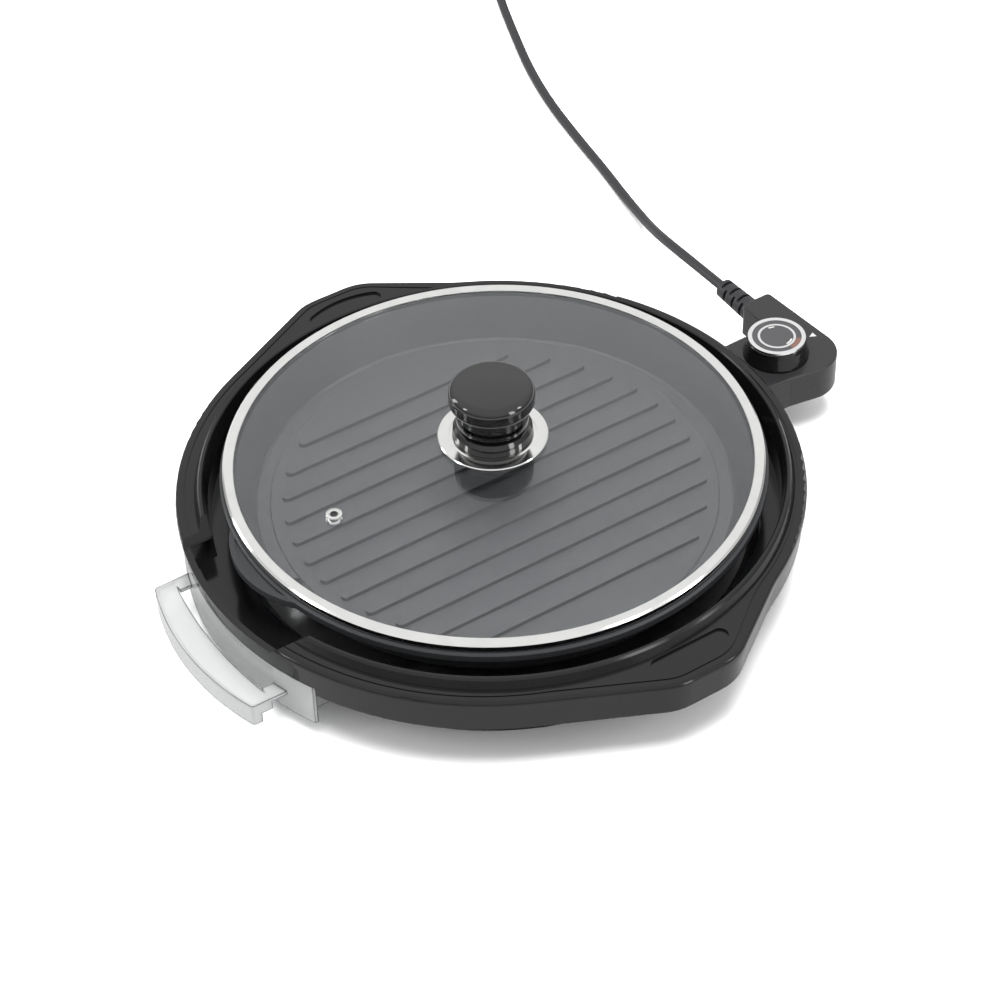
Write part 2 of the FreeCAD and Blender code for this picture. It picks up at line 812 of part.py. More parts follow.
def make_heater():
    """The reflector pan, the tubular element, its clips and the plate's posts."""
    pan_level = floor_top + 0.1
    pan = turned(
        "pan_turn",
        [
            (0, pan_level),
            (bowl_inner - 6, pan_level),
            (bowl_inner - 1.5, pan_level + 4),
            (bowl_inner - 1.5, pan_level + 5),
            (bowl_inner - 6.6, pan_level + s.steel),
            (0, pan_level + s.steel),
        ],
    )
    drain = cylinder("pan_drain", s.drain_radius + 1, 6, (0, -s.drain_offset, pan_level - 1))
    gate = box(
        "pan_gate",
        (-s.pin_spacing / 2 - 6, s.bowl_radius - 42, pan_level + s.steel),
        (s.pin_spacing / 2 + 6, well_radius, pan_level + 9),
    )
    node(cut("reflector_pan", pan, drain, gate))

    tube_radius = s.element_radius
    element = doc.addObject("Part::Feature", "heating_element")
    element.Shape = element_shape(tube_radius.value)
    node(element)

    seat = pan_level + s.steel
    clips = []
    for k, (x, y) in enumerate(around(3, s.element_loop, -90.0)):
        height = s.element_level + tube_radius + 1.2 - seat
        clips.append(cylinder(f"clip_post{k}", 5.0, height, (x, y, seat)))
    saddle = doc.addObject("Part::Feature", "element_envelope")
    saddle.Shape = element_shape(tube_radius.value + s.running.value)
    node(cut("element_clips", group("clip_posts", *clips), saddle))

    posts = []
    for k, (x, y) in enumerate(around(4, s.post_circle, 40.0)):
        stem = cylinder(f"post_stem{k}", 4.0, s.plate_level - seat - s.seat, (x, y, seat))
        base = cylinder(f"post_base{k}", 7.0, 1.5, (x, y, seat))
        posts.append(fuse(f"post{k}", stem, base))
    node(group("plate_posts", *posts))

    block_front = s.neck_front - 0.4
    block = box(
        "terminal_blank",
        (-s.neck_half + 2, s.bowl_radius - 6, s.bowl_floor_level + 0.2),
        (s.neck_half - 2, block_front, s.skirt_level - 0.7),
    )
    behind = cylinder("terminal_back", s.bowl_radius + s.seat, 20, (0, 0, 20))
    bores = []
    pins = []
    for k, x in enumerate((-s.pin_spacing / 2, s.pin_spacing / 2)):
        bores.append(
            cylinder(f"terminal_bore{k}", s.pin_radius + s.running, 40,
                     (x, s.element_end, s.element_level), "Y")
        )
        pin = cylinder(
            f"terminal_pin{k}", s.pin_radius, 37, (x, s.element_end, s.element_level), "Y"
        )
        pins.append(pin)
    probe = cylinder(
        "terminal_probe_bore", s.probe_radius + s.running, 40,
        (0, s.element_end, s.element_level), "Y"
    )
    node(cut("terminal_block", block, behind, probe, *bores))
    node(group("terminal_pins", *pins))


def element_shape(radius):
    """The heating element: two cold ends that open into one round loop."""
    level = s.element_level.value
    half = s.pin_spacing.value / 2
    loop = s.element_loop.value
    bend = s.element_bend.value
    end = s.element_end.value
    # The centre of the bend that touches a cold end and the loop from outside.
    bend_x = half + bend
    bend_y = math.sqrt((loop + bend) ** 2 - bend_x**2)
    touch = Vector(bend_x, bend_y, 0).normalize() * loop
    points = {
        "end": Vector(half, end, level),
        "straight": Vector(half, bend_y, level),
        "touch": Vector(touch.x, touch.y, level),
    }
    middle_angle = math.pi + 0.5 * math.atan2(bend_y, bend_x)
    middle = Vector(
        bend_x + bend * math.cos(middle_angle), bend_y + bend * math.sin(middle_angle), level
    )
    mirror = {name: Vector(-p.x, p.y, p.z) for name, p in points.items()}
    edges = [
        Part.LineSegment(points["end"], points["straight"]).toShape(),
        Part.Arc(points["straight"], middle, points["touch"]).toShape(),
        Part.Arc(points["touch"], Vector(0, -loop, level), mirror["touch"]).toShape(),
        Part.Arc(
            mirror["touch"], Vector(-middle.x, middle.y, level), mirror["straight"]
        ).toShape(),
        Part.LineSegment(mirror["straight"], mirror["end"]).toShape(),
    ]
    path = Part.Wire(edges)
    section = Part.Wire([Part.Circle(points["end"], Vector(0, -1, 0), radius).toShape()])
    return path.makePipeShell([section], True, False)


# ---------------------------------------------------------------- grill plate


plate_top = s.plate_level + s.plate_depth
plate_floor = s.plate_level + s.plate_thickness


def make_plate():
    """The cast plate: floor, gutter, wall, rolled rim, ribs, spout and drain."""
    floor_radius = s.plate_floor_radius
    dish = turned(
        "plate_dish",
        [
            (0, s.plate_level),
            (floor_radius + 1.5, s.plate_level),
            (s.plate_mouth + 3, plate_top - 5),
            (s.plate_radius - 2.5, plate_top - 5.4),
            (s.plate_radius - 2, plate_top - 5.8),
            (s.plate_radius, plate_top - 5.2),
            (s.plate_radius, plate_top - 1.2),
            (s.plate_radius - 1.2, plate_top),
            (s.plate_mouth + 1, plate_top),
            (s.plate_mouth, plate_top - 1),
            (floor_radius + 0.6, plate_floor + 0.6),
            (floor_radius - 0.6, plate_floor - 0.8),
            (floor_radius - s.gutter_width, plate_floor - 0.8),
            (floor_radius - s.gutter_width - 0.8, plate_floor),
            (0, plate_floor),
        ],
    )
    ribs = []
    count = int((s.rib_circle.value - s.rib_side_room.value) / s.rib_pitch.value + 0.5)
    for k in range(-count, count):
        offset = s.rib_pitch * (k + 0.5)
        half = (s.rib_circle * s.rib_circle - offset * offset).root() - s.rib_width / 2
        ribs.append(rib(f"rib{k + count}", offset, half))
    spout = cylinder(
        "spout_disc", s.spout_radius, 4.4, (0, s.spout_radius - s.spout_reach, plate_top - 5.4)
    )
    spout_keep = cylinder("spout_keep", s.plate_radius - 3, 20, (0, 0, plate_top - 10))
    lip = cut("spout_lip", spout, spout_keep)
    channel = cylinder(
        "spout_channel",
        s.spout_radius - 3.2,
        1.3,
        (0, s.spout_radius - s.spout_reach, plate_top - 2.2),
    )
    channel_keep = cylinder("channel_keep", s.plate_radius, 20, (0, 0, plate_top - 10))
    trough = cut("spout_trough", channel, channel_keep)
    drain = cylinder("plate_drain", s.drain_radius, 10, (0, -s.drain_offset, s.plate_level - 1))
    node(cut("grill_plate", fuse("plate_blank", dish, lip, *ribs), trough, drain))


def rib(label, offset, half):
    """One raised rib with round ends, along Y."""
    width = s.rib_width
    bar = box(
        f"{label}_bar",
        (offset - width / 2, -half, plate_floor - 0.5),
        (offset + width / 2, half, plate_floor + s.rib_height),
    )
    ends = [
        cylinder(f"{label}_end{k}", width / 2, s.rib_height + 0.5, (offset, y, plate_floor - 0.5))
        for k, y in enumerate((-half, half))
    ]
    return fuse(label, bar, *ends)


# ---------------------------------------------------------------- lid


lid_level = plate_top + s.lid_gap
lid_ring_top = lid_level + s.lid_ring_height
glass_edge_low = lid_level + s.steel
glass_edge_top = glass_edge_low + s.glass_thickness
glass_top = glass_edge_top + s.dome_rise
dome_edge = s.lid_radius - s.lid_ring_width - 0.6
dome_radius = (dome_edge * dome_edge + s.dome_rise * s.dome_rise) / (s.dome_rise * 2)
flange_top = glass_top + 1.2
knob_level = flange_top + 0.1
knob_top = knob_level + s.knob_height


def make_lid():
    """The glass dome in its steel ring, the vent eyelet and the knob."""
    hub = s.lid_screw_radius + 1.5
    inner_edge = s.lid_radius - s.steel - s.running
    hub_drop = dome_radius - (dome_radius * dome_radius - hub * hub).root()
    glass = turned(
        "glass_turn",
        [
            (hub, glass_top - hub_drop - s.glass_thickness),
            (dome_edge, glass_edge_low),
            (inner_edge, glass_edge_low + s.running),
            (inner_edge, glass_edge_top - s.running),
            (dome_edge, glass_edge_top),
            (hub, glass_top - hub_drop),
        ],
        {0: (dome_radius, -1), 4: (dome_radius, 1)},
    )
    vent_hole = cylinder(
        "vent_hole", s.vent_radius - 1.4 + s.running, 40, (0, -s.vent_offset, lid_level)
    )
    node(cut("lid_glass", glass, vent_hole))

    lip = s.lid_radius - s.lid_ring_width
    node(
        turned(
            "lid_ring",
            [
                (lip + 1.5, lid_level),
                (s.lid_radius - 0.5, lid_level),
                (s.lid_radius, lid_level + 0.5),
                (s.lid_radius, lid_ring_top - 1.1),
                (s.lid_radius - 1.1, lid_ring_top),
                (lip + 0.4, lid_ring_top),
                (lip, lid_ring_top - 0.3),
                (lip, glass_edge_top + s.running),
                (inner_edge + s.running, glass_edge_top + s.running),
                (inner_edge + s.running, glass_edge_low - s.running),
                (lip + 1.5, glass_edge_low - s.running),
            ],
        )
    )

    make_vent()
    make_knob()


def make_vent():
    """The steam vent: a rolled steel eyelet through the glass."""
    away = s.vent_offset
    drop = dome_radius - (dome_radius * dome_radius - away * away).root()
    surface = glass_top - drop
    outer = s.vent_radius
    neck = outer - 1.4
    node(
        turned(
            "vent_eyelet",
            [
                (neck - 1.3, surface - s.glass_thickness - 1.6),
                (outer - 0.4, surface - s.glass_thickness - 1.6),
                (outer - 0.2, surface - s.glass_thickness - 0.8),
                (neck, surface - s.glass_thickness - 0.8),
                (neck, surface + 0.8),
                (outer, surface + 0.8),
                (outer - 0.3, surface + 1.5),
                (neck - 0.4, surface + 1.9),
                (neck - 1.3, surface + 1.4),
            ],
            at=(0, -away, 0),
        )
    )


def make_knob():
    """The knob's steel flange, collar, cap, nut, washer and screw."""
    glass_low = glass_top - s.glass_thickness
    bore = s.lid_screw_radius + s.running
    node(
        turned(
            "knob_flange",
            [
                (bore, glass_top + 0.1),
                (9, glass_top + 0.1),
                (s.flange_radius - 0.6, glass_top - 0.2),
                (s.flange_radius, glass_top + 0.1),
                (s.flange_radius - 0.5, glass_top + 0.6),
                (s.knob_foot_radius + 2, flange_top - 0.3),
                (s.knob_foot_radius + 1, flange_top),
                (bore, flange_top),
            ],
        )
    )
    cap_level = knob_top - s.knob_cap_height
    neck = s.knob_neck_radius
    foot = s.knob_foot_radius
    node(
        turned(
            "knob_collar",
            [
                (bore, knob_level),
                (foot - 0.5, knob_level),
                (foot, knob_level + 0.6),
                (foot - 0.6, knob_level + 5),
                (neck + 0.8, knob_level + 7.5),
                (neck - 1.4, knob_level + 8.2),
                (neck - 1.4, knob_level + 9.4),
                (neck + 0.2, knob_level + 10),
                (neck + 0.2, knob_level + 12.6),
                (neck - 1.4, knob_level + 13.2),
                (neck - 1.4, knob_level + 14.4),
                (neck - 0.2, knob_level + 15),
                (neck - 0.6, cap_level),
                (bore, cap_level),
            ],
        )
    )
    cap_radius = s.knob_radius
    insert_top = cap_level + 10
    crown_edge = cap_radius - 4.6
    crown_radius = (crown_edge * crown_edge + 1) / 2
    cap = turned(
        "knob_turn",
        [
            (0, insert_top + 1),
            (0, knob_top),
            (crown_edge, knob_top - 1),
            (cap_radius, knob_top - 5.6),
            (cap_radius, cap_level + 5.4),
            (crown_edge, cap_level + 0.2),
            (4 + s.running, cap_level + 0.2),
            (4 + s.running, insert_top + 1),
        ],
        {1: (crown_radius, -1), 2: (as_size(5.6), -1), 4: (as_size(6.0), -1)},
    )
    node(cap, "knob_cap")
    node(
        ring("knob_nut", s.lid_screw_radius + s.running, as_size(4.0), cap_level + 0.2, insert_top)
    )
    node(
        ring("knob_washer", s.lid_screw_radius + s.running, as_size(11.0),
             glass_low - 1.8, glass_low - 0.2)
    )
    head_level = glass_low - 1.9
    shank = cylinder("lid_screw_shank", s.lid_screw_radius, insert_top - head_level - 1,
                     (0, 0, head_level))
    head = turned(
        "lid_screw_head",
        [(0, head_level - 2.6), (3.6, head_level - 2.6), (5.2, head_level - 1.2),
         (5.2, head_level), (0, head_level)],
    )
    cross = [
        box("lid_screw_slot0", (-3.4, -0.5, head_level - 4), (3.4, 0.5, head_level - 1.2)),
        box("lid_screw_slot1", (-0.5, -3.4, head_level - 4), (0.5, 3.4, head_level - 1.2)),
    ]
    node(cut("knob_screw", fuse("lid_screw_blank", shank, head), *cross))


# ---------------------------------------------------------------- drip tray


def make_tray():
    """The clear drip tray with its curved front panel and handle bar."""
    reach = s.outline_radius - s.skirt_inset
    wall = s.tray_wall
    level = s.tray_level
    top = s.bowl_floor_level - 0.8
    centre = (0, -s.outline_shift, 0)
    outer_disc = cylinder("tray_disc", reach, TALL, centre)
    inner_disc = cylinder("tray_inner_disc", reach - wall, TALL, centre)
    body = common(
        "tray_body",
        box("tray_blank", (-s.tray_half, -s.outline_radius - 10, level),
            (s.tray_half, -s.tray_back, top)),
        outer_disc,
    )
    room = common(
        "tray_room",
        box("tray_void", (wall - s.tray_half, -s.outline_radius - 10, level + wall),
            (s.tray_half - wall, -s.tray_back - wall, top + 1)),
        inner_disc,
    )
    panel_box = padded(
        "panel_blank",
        [(-s.panel_half, -s.outline_radius - 5), (s.panel_half, -s.outline_radius - 5),
         (s.panel_half, -s.bay_start), (-s.panel_half, -s.bay_start)],
        level, s.panel_top,
    )
    panel = cut("tray_panel", common("panel_slab", panel_box, outer_disc), inner_disc)
    box_part = cut("tray_box", body, room)

    half = s.bar_half
    outer_y = (s.bar_radius * s.bar_radius - half * half).root() - s.bar_radius + s.bar_reach
    inner_y = s.bar_inner - s.bar_inner_radius
    inner_y = inner_y + (s.bar_inner_radius * s.bar_inner_radius - half * half).root()
    deck = padded(
        "bar_deck",
        [(-half, -outer_y), (half, -outer_y), (half, -inner_y), (-half, -inner_y)],
        s.bar_level - s.bar_deck, s.bar_level,
        {0: (s.bar_radius, 1), 2: (s.bar_inner_radius, -1)},
        [(3.0, [(-half, -outer_y), (half, -outer_y)])],
    )
    apron_out = padded(
        "apron_outer",
        [(-half, -outer_y), (half, -outer_y), (half, -inner_y), (-half, -inner_y)],
        level, s.bar_level,
        {0: (s.bar_radius, 1), 2: (s.bar_inner_radius, -1)},
        [(3.0, [(-half, -outer_y), (half, -outer_y)])],
    )
    round_level(apron_out, "apron_round", s.bar_level, 1.6, outside_test(s.bar_inner.value + 3))
    apron_room = box(
        "apron_room",
        (wall - half, wall + 0.2 - s.bar_reach - 30, level - 1),
        (half - wall, -s.bay_start, s.bar_level - s.bar_deck),
    )
    apron_arc = cylinder(
        "apron_arc", s.bar_radius - wall, TALL, (0, s.bar_radius - s.bar_reach, 0)
    )
    hollow = common("apron_hollow", apron_room, apron_arc)
    side_trim = box(
        "side_trim", (-half - 5, -inner_y - 7, level - 1), (half + 5, -s.bay_start, s.bar_level - 8)
    )
    bar = fuse("bar_whole", cut("bar_shell", apron_out, hollow, side_trim), deck)
    arms = []
    for k, side in enumerate((-1, 1)):
        middle = side * (half - 5)
        arm = box(
            f"arm{k}",
            (middle - 5, -inner_y - 1, s.bar_level - s.bar_deck),
            (middle + 5, -s.bowl_radius, s.bar_level),
        )
        arms.append(cut(f"arm_cut{k}", arm, inner_disc))
    node(fuse("drip_tray", box_part, panel, bar, *arms))


def outside_test(limit):
    """A test for edges whose middle lies further to -Y than a limit."""
    def test(edge):
        return edge.BoundBox.Center.y < -limit
    return test


# ---------------------------------------------------------------- thermostat


control_top = s.control_bottom + s.control_height
control_split = s.control_bottom + s.control_height / 2 + 0.2
relief_y = (s.arm_front + s.control_back) / 2 - 0.75


def control_points(inset):
    """The thermostat's outline from above, moved in by an inset."""
    return [
        (inset - s.neck_half, s.neck_front + inset),
        (s.neck_half - inset, s.neck_front + inset),
        (s.neck_half + 1.5 - inset, s.dial_offset - 8),
        (s.control_side - inset, s.control_back + s.back_bulge - inset),
        (inset - s.arm_end, s.control_back - inset),
        (inset - s.arm_end, s.arm_front + inset),
        (inset - s.neck_half, s.arm_front + inset),
    ]


def control_body(label, inset, low, high):
    """A slab with the thermostat's outline."""
    points = control_points(as_size(inset))
    rounds = [
        (s.control_corner - inset, [points[3]]),
        (4.0, [points[6]]),
        (as_size(3.0) - as_size(inset) * 0.5, [points[4], points[5]]),
        (14.0, [points[2]]),
    ]
    return padded(label, points, low, high, None, rounds)


def beyond_neck(edge):
    """Whether an edge reaches past the neck's front face."""
    return edge.BoundBox.YMax > s.neck_front.value + 1.4


def make_control_shells():
    """The thermostat's two shells, hollow, with the holes that they share."""
    wall = s.control_wall
    upper = control_body("upper_blank", 0, control_split, control_top)
    round_level(upper, "upper_edge", control_top, 1.4, beyond_neck)
    lower = control_body("lower_blank", 0, s.control_bottom, control_split - s.running)
    round_level(lower, "lower_edge", s.control_bottom, 1.4, beyond_neck)
    upper_room = control_body("upper_room", wall, control_split - 1, control_top - wall)
    lower_room = control_body("lower_room", wall, s.control_bottom + wall, control_split + 1)
    relief = relief_bore()
    shaft = cylinder("shaft_hole", s.shaft_radius + 0.6, 10, (0, s.dial_offset, control_top - 5))
    well = cylinder("dial_well", s.dial_radius + s.dial_flare + 0.4, 0.6,
                    (0, s.dial_offset, control_top - 0.5))
    mark = pointer_blank("pointer_seat", 0.05)
    node(cut("control_upper", upper, upper_room, relief, shaft, well, mark))
    mark_piece = pointer_blank("pointer_mark", 0)
    node(mark_piece)

    holes = []
    for k, x in enumerate((-s.pin_spacing / 2, s.pin_spacing / 2)):
        holes.append(
            cylinder(f"neck_hole{k}", s.pin_radius + 0.8, 12,
                     (x, s.neck_front - 2, s.element_level), "Y")
        )
    holes.append(
        cylinder("neck_probe_hole", s.probe_radius + s.running, 12,
                 (0, s.neck_front - 2, s.element_level), "Y")
    )
    screw_holes = []
    bosses = []
    bores = []
    screws = []
    for k, (x, y) in enumerate(control_screw_spots()):
        low = s.control_bottom
        screw_holes.append(cylinder(f"control_hole{k}", 1.25 + s.running, 20, (x, y, low - 1)))
        post = cylinder(f"control_boss{k}", 3.4, control_split - low - 1, (x, y, low + 1))
        bosses.append(post)
        bores.append(cylinder(f"control_head_seat{k}", 2.7, 2, (x, y, low - 1)))
        shank = cylinder(f"control_shank{k}", 1.25, 11, (x, y, low + 0.1))
        head = cylinder(f"control_head{k}", 2.4, 0.9, (x, y, low + 0.1))
        slot = box(f"control_slot{k}", (x - 1.8, y - 0.35, low - 1), (x + 1.8, y + 0.35, low + 0.5))
        screws.append(cut(f"control_screw{k}", fuse(f"control_screw_blank{k}", shank, head), slot))
    shell = fuse("lower_bossed", cut("lower_shell", lower, lower_room), *bosses)
    node(cut("control_lower", shell, relief, *holes, *screw_holes, *bores))
    node(group("control_screws", *screws))


def control_screw_spots():
    """The three screws that hold the shells together."""
    return [
        (5.7 - s.neck_half, s.neck_front + 30.4),
        (-s.arm_end + 16, s.control_back - 6),
        (s.control_side - 12, s.dial_offset + 8),
    ]


def relief_bore():
    """The hole in the arm's end for the strain relief."""
    return cylinder(
        "relief_hole",
        s.relief_radius - 1.5 + s.running,
        20,
        (-s.arm_end + 10, relief_y, control_split),
        "-X",
    )


def pointer_blank(label, margin):
    """The small wedge that the dial's marks are read against."""
    tip = s.dial_offset + s.dial_radius + s.pointer_gap
    low = control_top - 0.6
    high = control_top + (0.35 if margin == 0 else 1.0)
    points = [
        (0, tip - margin),
        (2 + margin, tip + 4.2 + margin),
        (-2 - margin, tip + 4.2 + margin),
    ]
    return padded(label, points, low, high)


def make_control_inside():
    """The probe, the contact sleeves, the switch and the dial's shaft bush."""
    wall = s.control_wall
    block_low = s.control_bottom + wall + 0.1
    block_front = s.neck_front + 17
    block = box(
        "switch_blank",
        (-s.switch_half, block_front, block_low),
        (s.switch_half, s.dial_offset + 10, control_split + 1.5),
    )
    shaft_hole = cylinder("switch_hole", s.shaft_radius + s.running, 30, (0, s.dial_offset, block_low + 5))
    tail = cylinder(
        "switch_probe_hole", s.probe_radius + s.running, 12, (0, block_front - 2, s.element_level),
        "Y",
    )
    contacts = []
    sleeves = []
    for k, x in enumerate((-s.pin_spacing / 2, s.pin_spacing / 2)):
        start = s.neck_front + wall + 0.2
        sleeve = cylinder(f"sleeve{k}", s.pin_radius + s.sleeve_wall, 20, (x, start, s.element_level), "Y")
        bore = cylinder(
            f"sleeve_bore{k}", s.pin_radius + s.running, 16, (x, start - 1, s.element_level), "Y"
        )
        sleeves.append(cut(f"sleeve_cut{k}", sleeve, bore))
        blade = box(
            f"blade{k}",
            (blade_low(x, 0.4), start + 20.1, s.element_level - 2),
            (blade_high(x, 0.4), start + 21.1, s.element_level + 2),
        )
        contacts.append(blade)
    node(cut("switch_block", block, shaft_hole, tail))
    node(group("contact_sleeves", *sleeves))
    node(group("contact_blades", *contacts))
    probe_length = block_front + 9 - s.probe_tip
    rod = cylinder("probe_shaft", s.probe_radius, probe_length - 3,
                   (0, s.probe_tip + 3, s.element_level), "Y")
    nose = cone("probe_nose", as_size(1.2), s.probe_radius, 3,
                (0, s.probe_tip, s.element_level), "Y")
    node(fuse("probe_rod", rod, nose))


def blade_low(x, gap):
    """The lower x of a blade between a sleeve's side and the switch block."""
    return x - 3 if x.value < 0 else s.switch_half + gap


def blade_high(x, gap):
    """The higher x of a blade between a sleeve's side and the switch block."""
    return -s.switch_half - gap if x.value < 0 else x + 3


def make_dial():
    """The dial: flared skirt, chrome ring, printed disc, bezel and shaft."""
    low = control_top + 0.1
    top = low + s.dial_height
    radius = s.dial_radius
    foot = radius + s.dial_flare
    node(
        turned(
            "dial_skirt",
            [
                (4.5, low + 2),
                (radius - 2.5, low + 2),
                (radius - 2.5, low),
                (foot - 0.4, low),
                (foot, low + 0.6),
                (radius + s.dial_flare * 0.35, low + 5.5),
                (radius, low + 9),
                (radius, top - 1.7),
                (radius - 0.5, top - 1.2),
                (s.shaft_radius + s.running, top - 1.2),
                (s.shaft_radius + s.running, low + 3),
                (4.5, low + 3),
            ],
            at=(0, s.dial_offset, 0),
        )
    )

    at = (as_size(0), s.dial_offset)
    node(ring("dial_ring", radius - 3.2, radius - 0.6, top - 1.15, top, at))
    node(ring("dial_scale", radius - 6.65, radius - 3.25, top - 1.15, top - 0.5, at))
    node(ring("dial_bezel", radius - 8.2, radius - 6.7, top - 1.15, top - 0.15, at))
    node(cylinder("dial_cap", radius - 8.25, 0.75, (*at, top - 1.15)))
    stem_low = s.control_bottom + s.control_wall + 6
    node(cylinder("dial_shaft", s.shaft_radius, top - 1.2 - stem_low, (*at, stem_low)))


def make_relief():
    """The ribbed strain relief, slotted so that it bends."""
    start = -s.arm_end
    radius = s.relief_radius
    end = radius - 1.0
    length = s.relief_length
    bore = s.cord_radius + s.running
    plug = cylinder("relief_plug", radius - 1.5, 9.5, (start + 9, relief_y, control_split), "-X")
    sleeve = cone("relief_sleeve", radius, end, length, (start - 0.1, relief_y, control_split), "-X")
    slots = []
    for k in range(3):
        for face in range(2):
            slots.append(relief_slot(f"relief_slot{k}_{face}", start - 7 - 8.6 * k - 4.3 * face,
                                     face))
    hole = cylinder("relief_bore", bore, TALL, (start + 10, relief_y, control_split), "-X")
    node(cut("strain_relief", fuse("relief_blank", plug, sleeve), hole, *slots))


def relief_slot(label, at_x, face):
    """A pair of slots across the relief, upright or level by turns."""
    core = s.cord_radius + 1.1
    reach = s.relief_radius + 2
    if face == 0:
        lows = [(at_x, relief_y + core, control_split - reach),
                (at_x, relief_y - reach, control_split - reach)]
        highs = [(at_x + 2.2, relief_y + reach, control_split + reach),
                 (at_x + 2.2, relief_y - core, control_split + reach)]
    else:
        lows = [(at_x, relief_y - reach, control_split + core),
                (at_x, relief_y - reach, control_split - reach)]
        highs = [(at_x + 2.2, relief_y + reach, control_split + reach),
                 (at_x + 2.2, relief_y + reach, control_split - core)]
    pair = [box(f"{label}_{k}", low, high) for k, (low, high) in enumerate(zip(lows, highs))]
    return group(label, *pair)


# ---------------------------------------------------------------- lead


def rounded_path(points):
    """Straight runs joined by tangent arcs, each as large as its two runs allow."""
    spots = [Vector(*p) for p in points]
    edges = []
    radii = []
    start = spots[0]
    for before, corner, after in zip(spots, spots[1:], spots[2:]):
        inward = (before - corner).normalize()
        outward = (after - corner).normalize()
        turn = math.pi - inward.getAngle(outward)
        run = min((before - corner).Length, (after - corner).Length)
        back = 0.45 * run
        radius = back / math.tan(turn / 2)
        radii.append(radius)
        first = corner + inward * back
        last = corner + outward * back
        bisector = (inward + outward).normalize()
        reach = radius / math.cos(turn / 2) - radius
        edges.append(Part.LineSegment(start, first).toShape())
        edges.append(Part.Arc(first, corner + bisector * reach, last).toShape())
        start = last
    edges.append(Part.LineSegment(start, spots[-1]).toShape())
    return Part.Wire(edges), radii


def tube_along(path, points, radius):
    """A tube of a radius along the path that rounds a route's corners."""
    along = (Vector(*points[1]) - Vector(*points[0])).normalize()
    circle = Part.Circle(Vector(*points[0]), along, radius)
    return path.makePipeShell([Part.Wire([circle.toShape()])], True, False)


def cord_tube(label, points):
    """A plain tube along a route, with its volume checked."""
    path, radii = rounded_path(points)
    radius = s.cord_radius.value
    tube = tube_along(path, points, radius)
    expected = math.pi * radius**2 * path.Length
    print(f"{label}: length {path.Length:.1f}, smallest radius {min(radii):.1f},",
          f"volume over expected {tube.Volume / expected:.5f}")
    obj = doc.addObject("Part::Feature", label)
    obj.Shape = tube
    return node(obj)


def make_lead():
    """The lead: its run along the table, its coil, the tie and the plug."""
    cord_tube("cord_tube", CORD_ROUTE)
    cord_tube("cord_tail", LEAD_ROUTE)
    half_width = s.cord_radius * s.coil_turns_wide
    height = s.cord_radius * 2 * s.coil_turns_high
    x, y = COIL_CENTRE
    coil = ring(
        "coil_ring",
        s.coil_mean_radius - half_width,
        s.coil_mean_radius + half_width,
        as_size(0.1),
        height + 0.1,
        (as_size(x), as_size(y)),
    )
    tube_room = doc.addObject("Part::Feature", "coil_mouths")
    mouths = [
        tube_along(rounded_path(points)[0], points, s.cord_radius.value + s.running.value)
        for points in (CORD_ROUTE, LEAD_ROUTE)
    ]
    tube_room.Shape = Part.makeCompound(mouths)
    tie_x = as_size(x) - s.coil_mean_radius
    tie = box(
        "tie_blank",
        (tie_x - half_width - 1.2, as_size(y) - 2, 0.05),
        (tie_x + half_width + 1.2, as_size(y) + 2, height + 1.1),
    )
    tie_room = box(
        "tie_room",
        (tie_x - half_width - 0.2, as_size(y) - 4, -1),
        (tie_x + half_width + 0.2, as_size(y) + 4, height + 0.12),
    )
    node(cut("cord_coil", coil, tube_room))
    node(cut("cord_tie", tie, tie_room))
    make_plug()


def make_plug():
    """A moulded two-pin plug that lies on the table beside the coil."""
    end = Vector(*LEAD_ROUTE[-1])
    way = (end - Vector(*LEAD_ROUTE[-2]))
    heading = math.degrees(math.atan2(way.y, way.x))
    thick = 15.0
    shell = doc.addObject("PartDesign::Body", "plug_body")
    points = [(0, -5.5), (9, -7), (16, -17), (38, -17), (38, 17), (16, 17), (9, 7), (0, 5.5)]
    sketch = closed_sketch(shell, "plug_outline", "XY_Plane", points, level=-thick / 2)
    pad = shell.newObject("PartDesign::Pad", "plug_pad")
    pad.Profile = sketch
    pad.Length = thick
    shell.Tip = pad
    doc.recompute()
    corners = [upright_edge(pad.Shape, Vector(x, y, 0)) for x, y in points[1:7]]
    round_edges(shell, "plug_corners", corners, 3.0)
    flat = level_edges(shell.Tip.Shape, thick / 2) + level_edges(shell.Tip.Shape, -thick / 2)
    round_edges(shell, "plug_edges", flat, 2.2)
    turn = Rotation(Vector(0, 0, 1), heading)
    shell.Placement = Placement(Vector(end.x, end.y, thick / 2 + 0.1), turn)
    node(shell)
    pins = []
    for k, side in enumerate((-1, 1)):
        pin = doc.addObject("Part::Cylinder", f"plug_pin{k}")
        bind(pin, "Radius", s.plug_pin_radius)
        bind(pin, "Height", s.plug_pin_length)
        offset = side * s.plug_pin_spacing.value / 2
        spot = turn.multVec(Vector(38.05, offset, 0)) + shell.Placement.Base
        pin.Placement = Placement(spot, turn.multiply(ALONG["X"]))
        pins.append(pin)
    node(group("plug_pins", *pins))


# ---------------------------------------------------------------- build


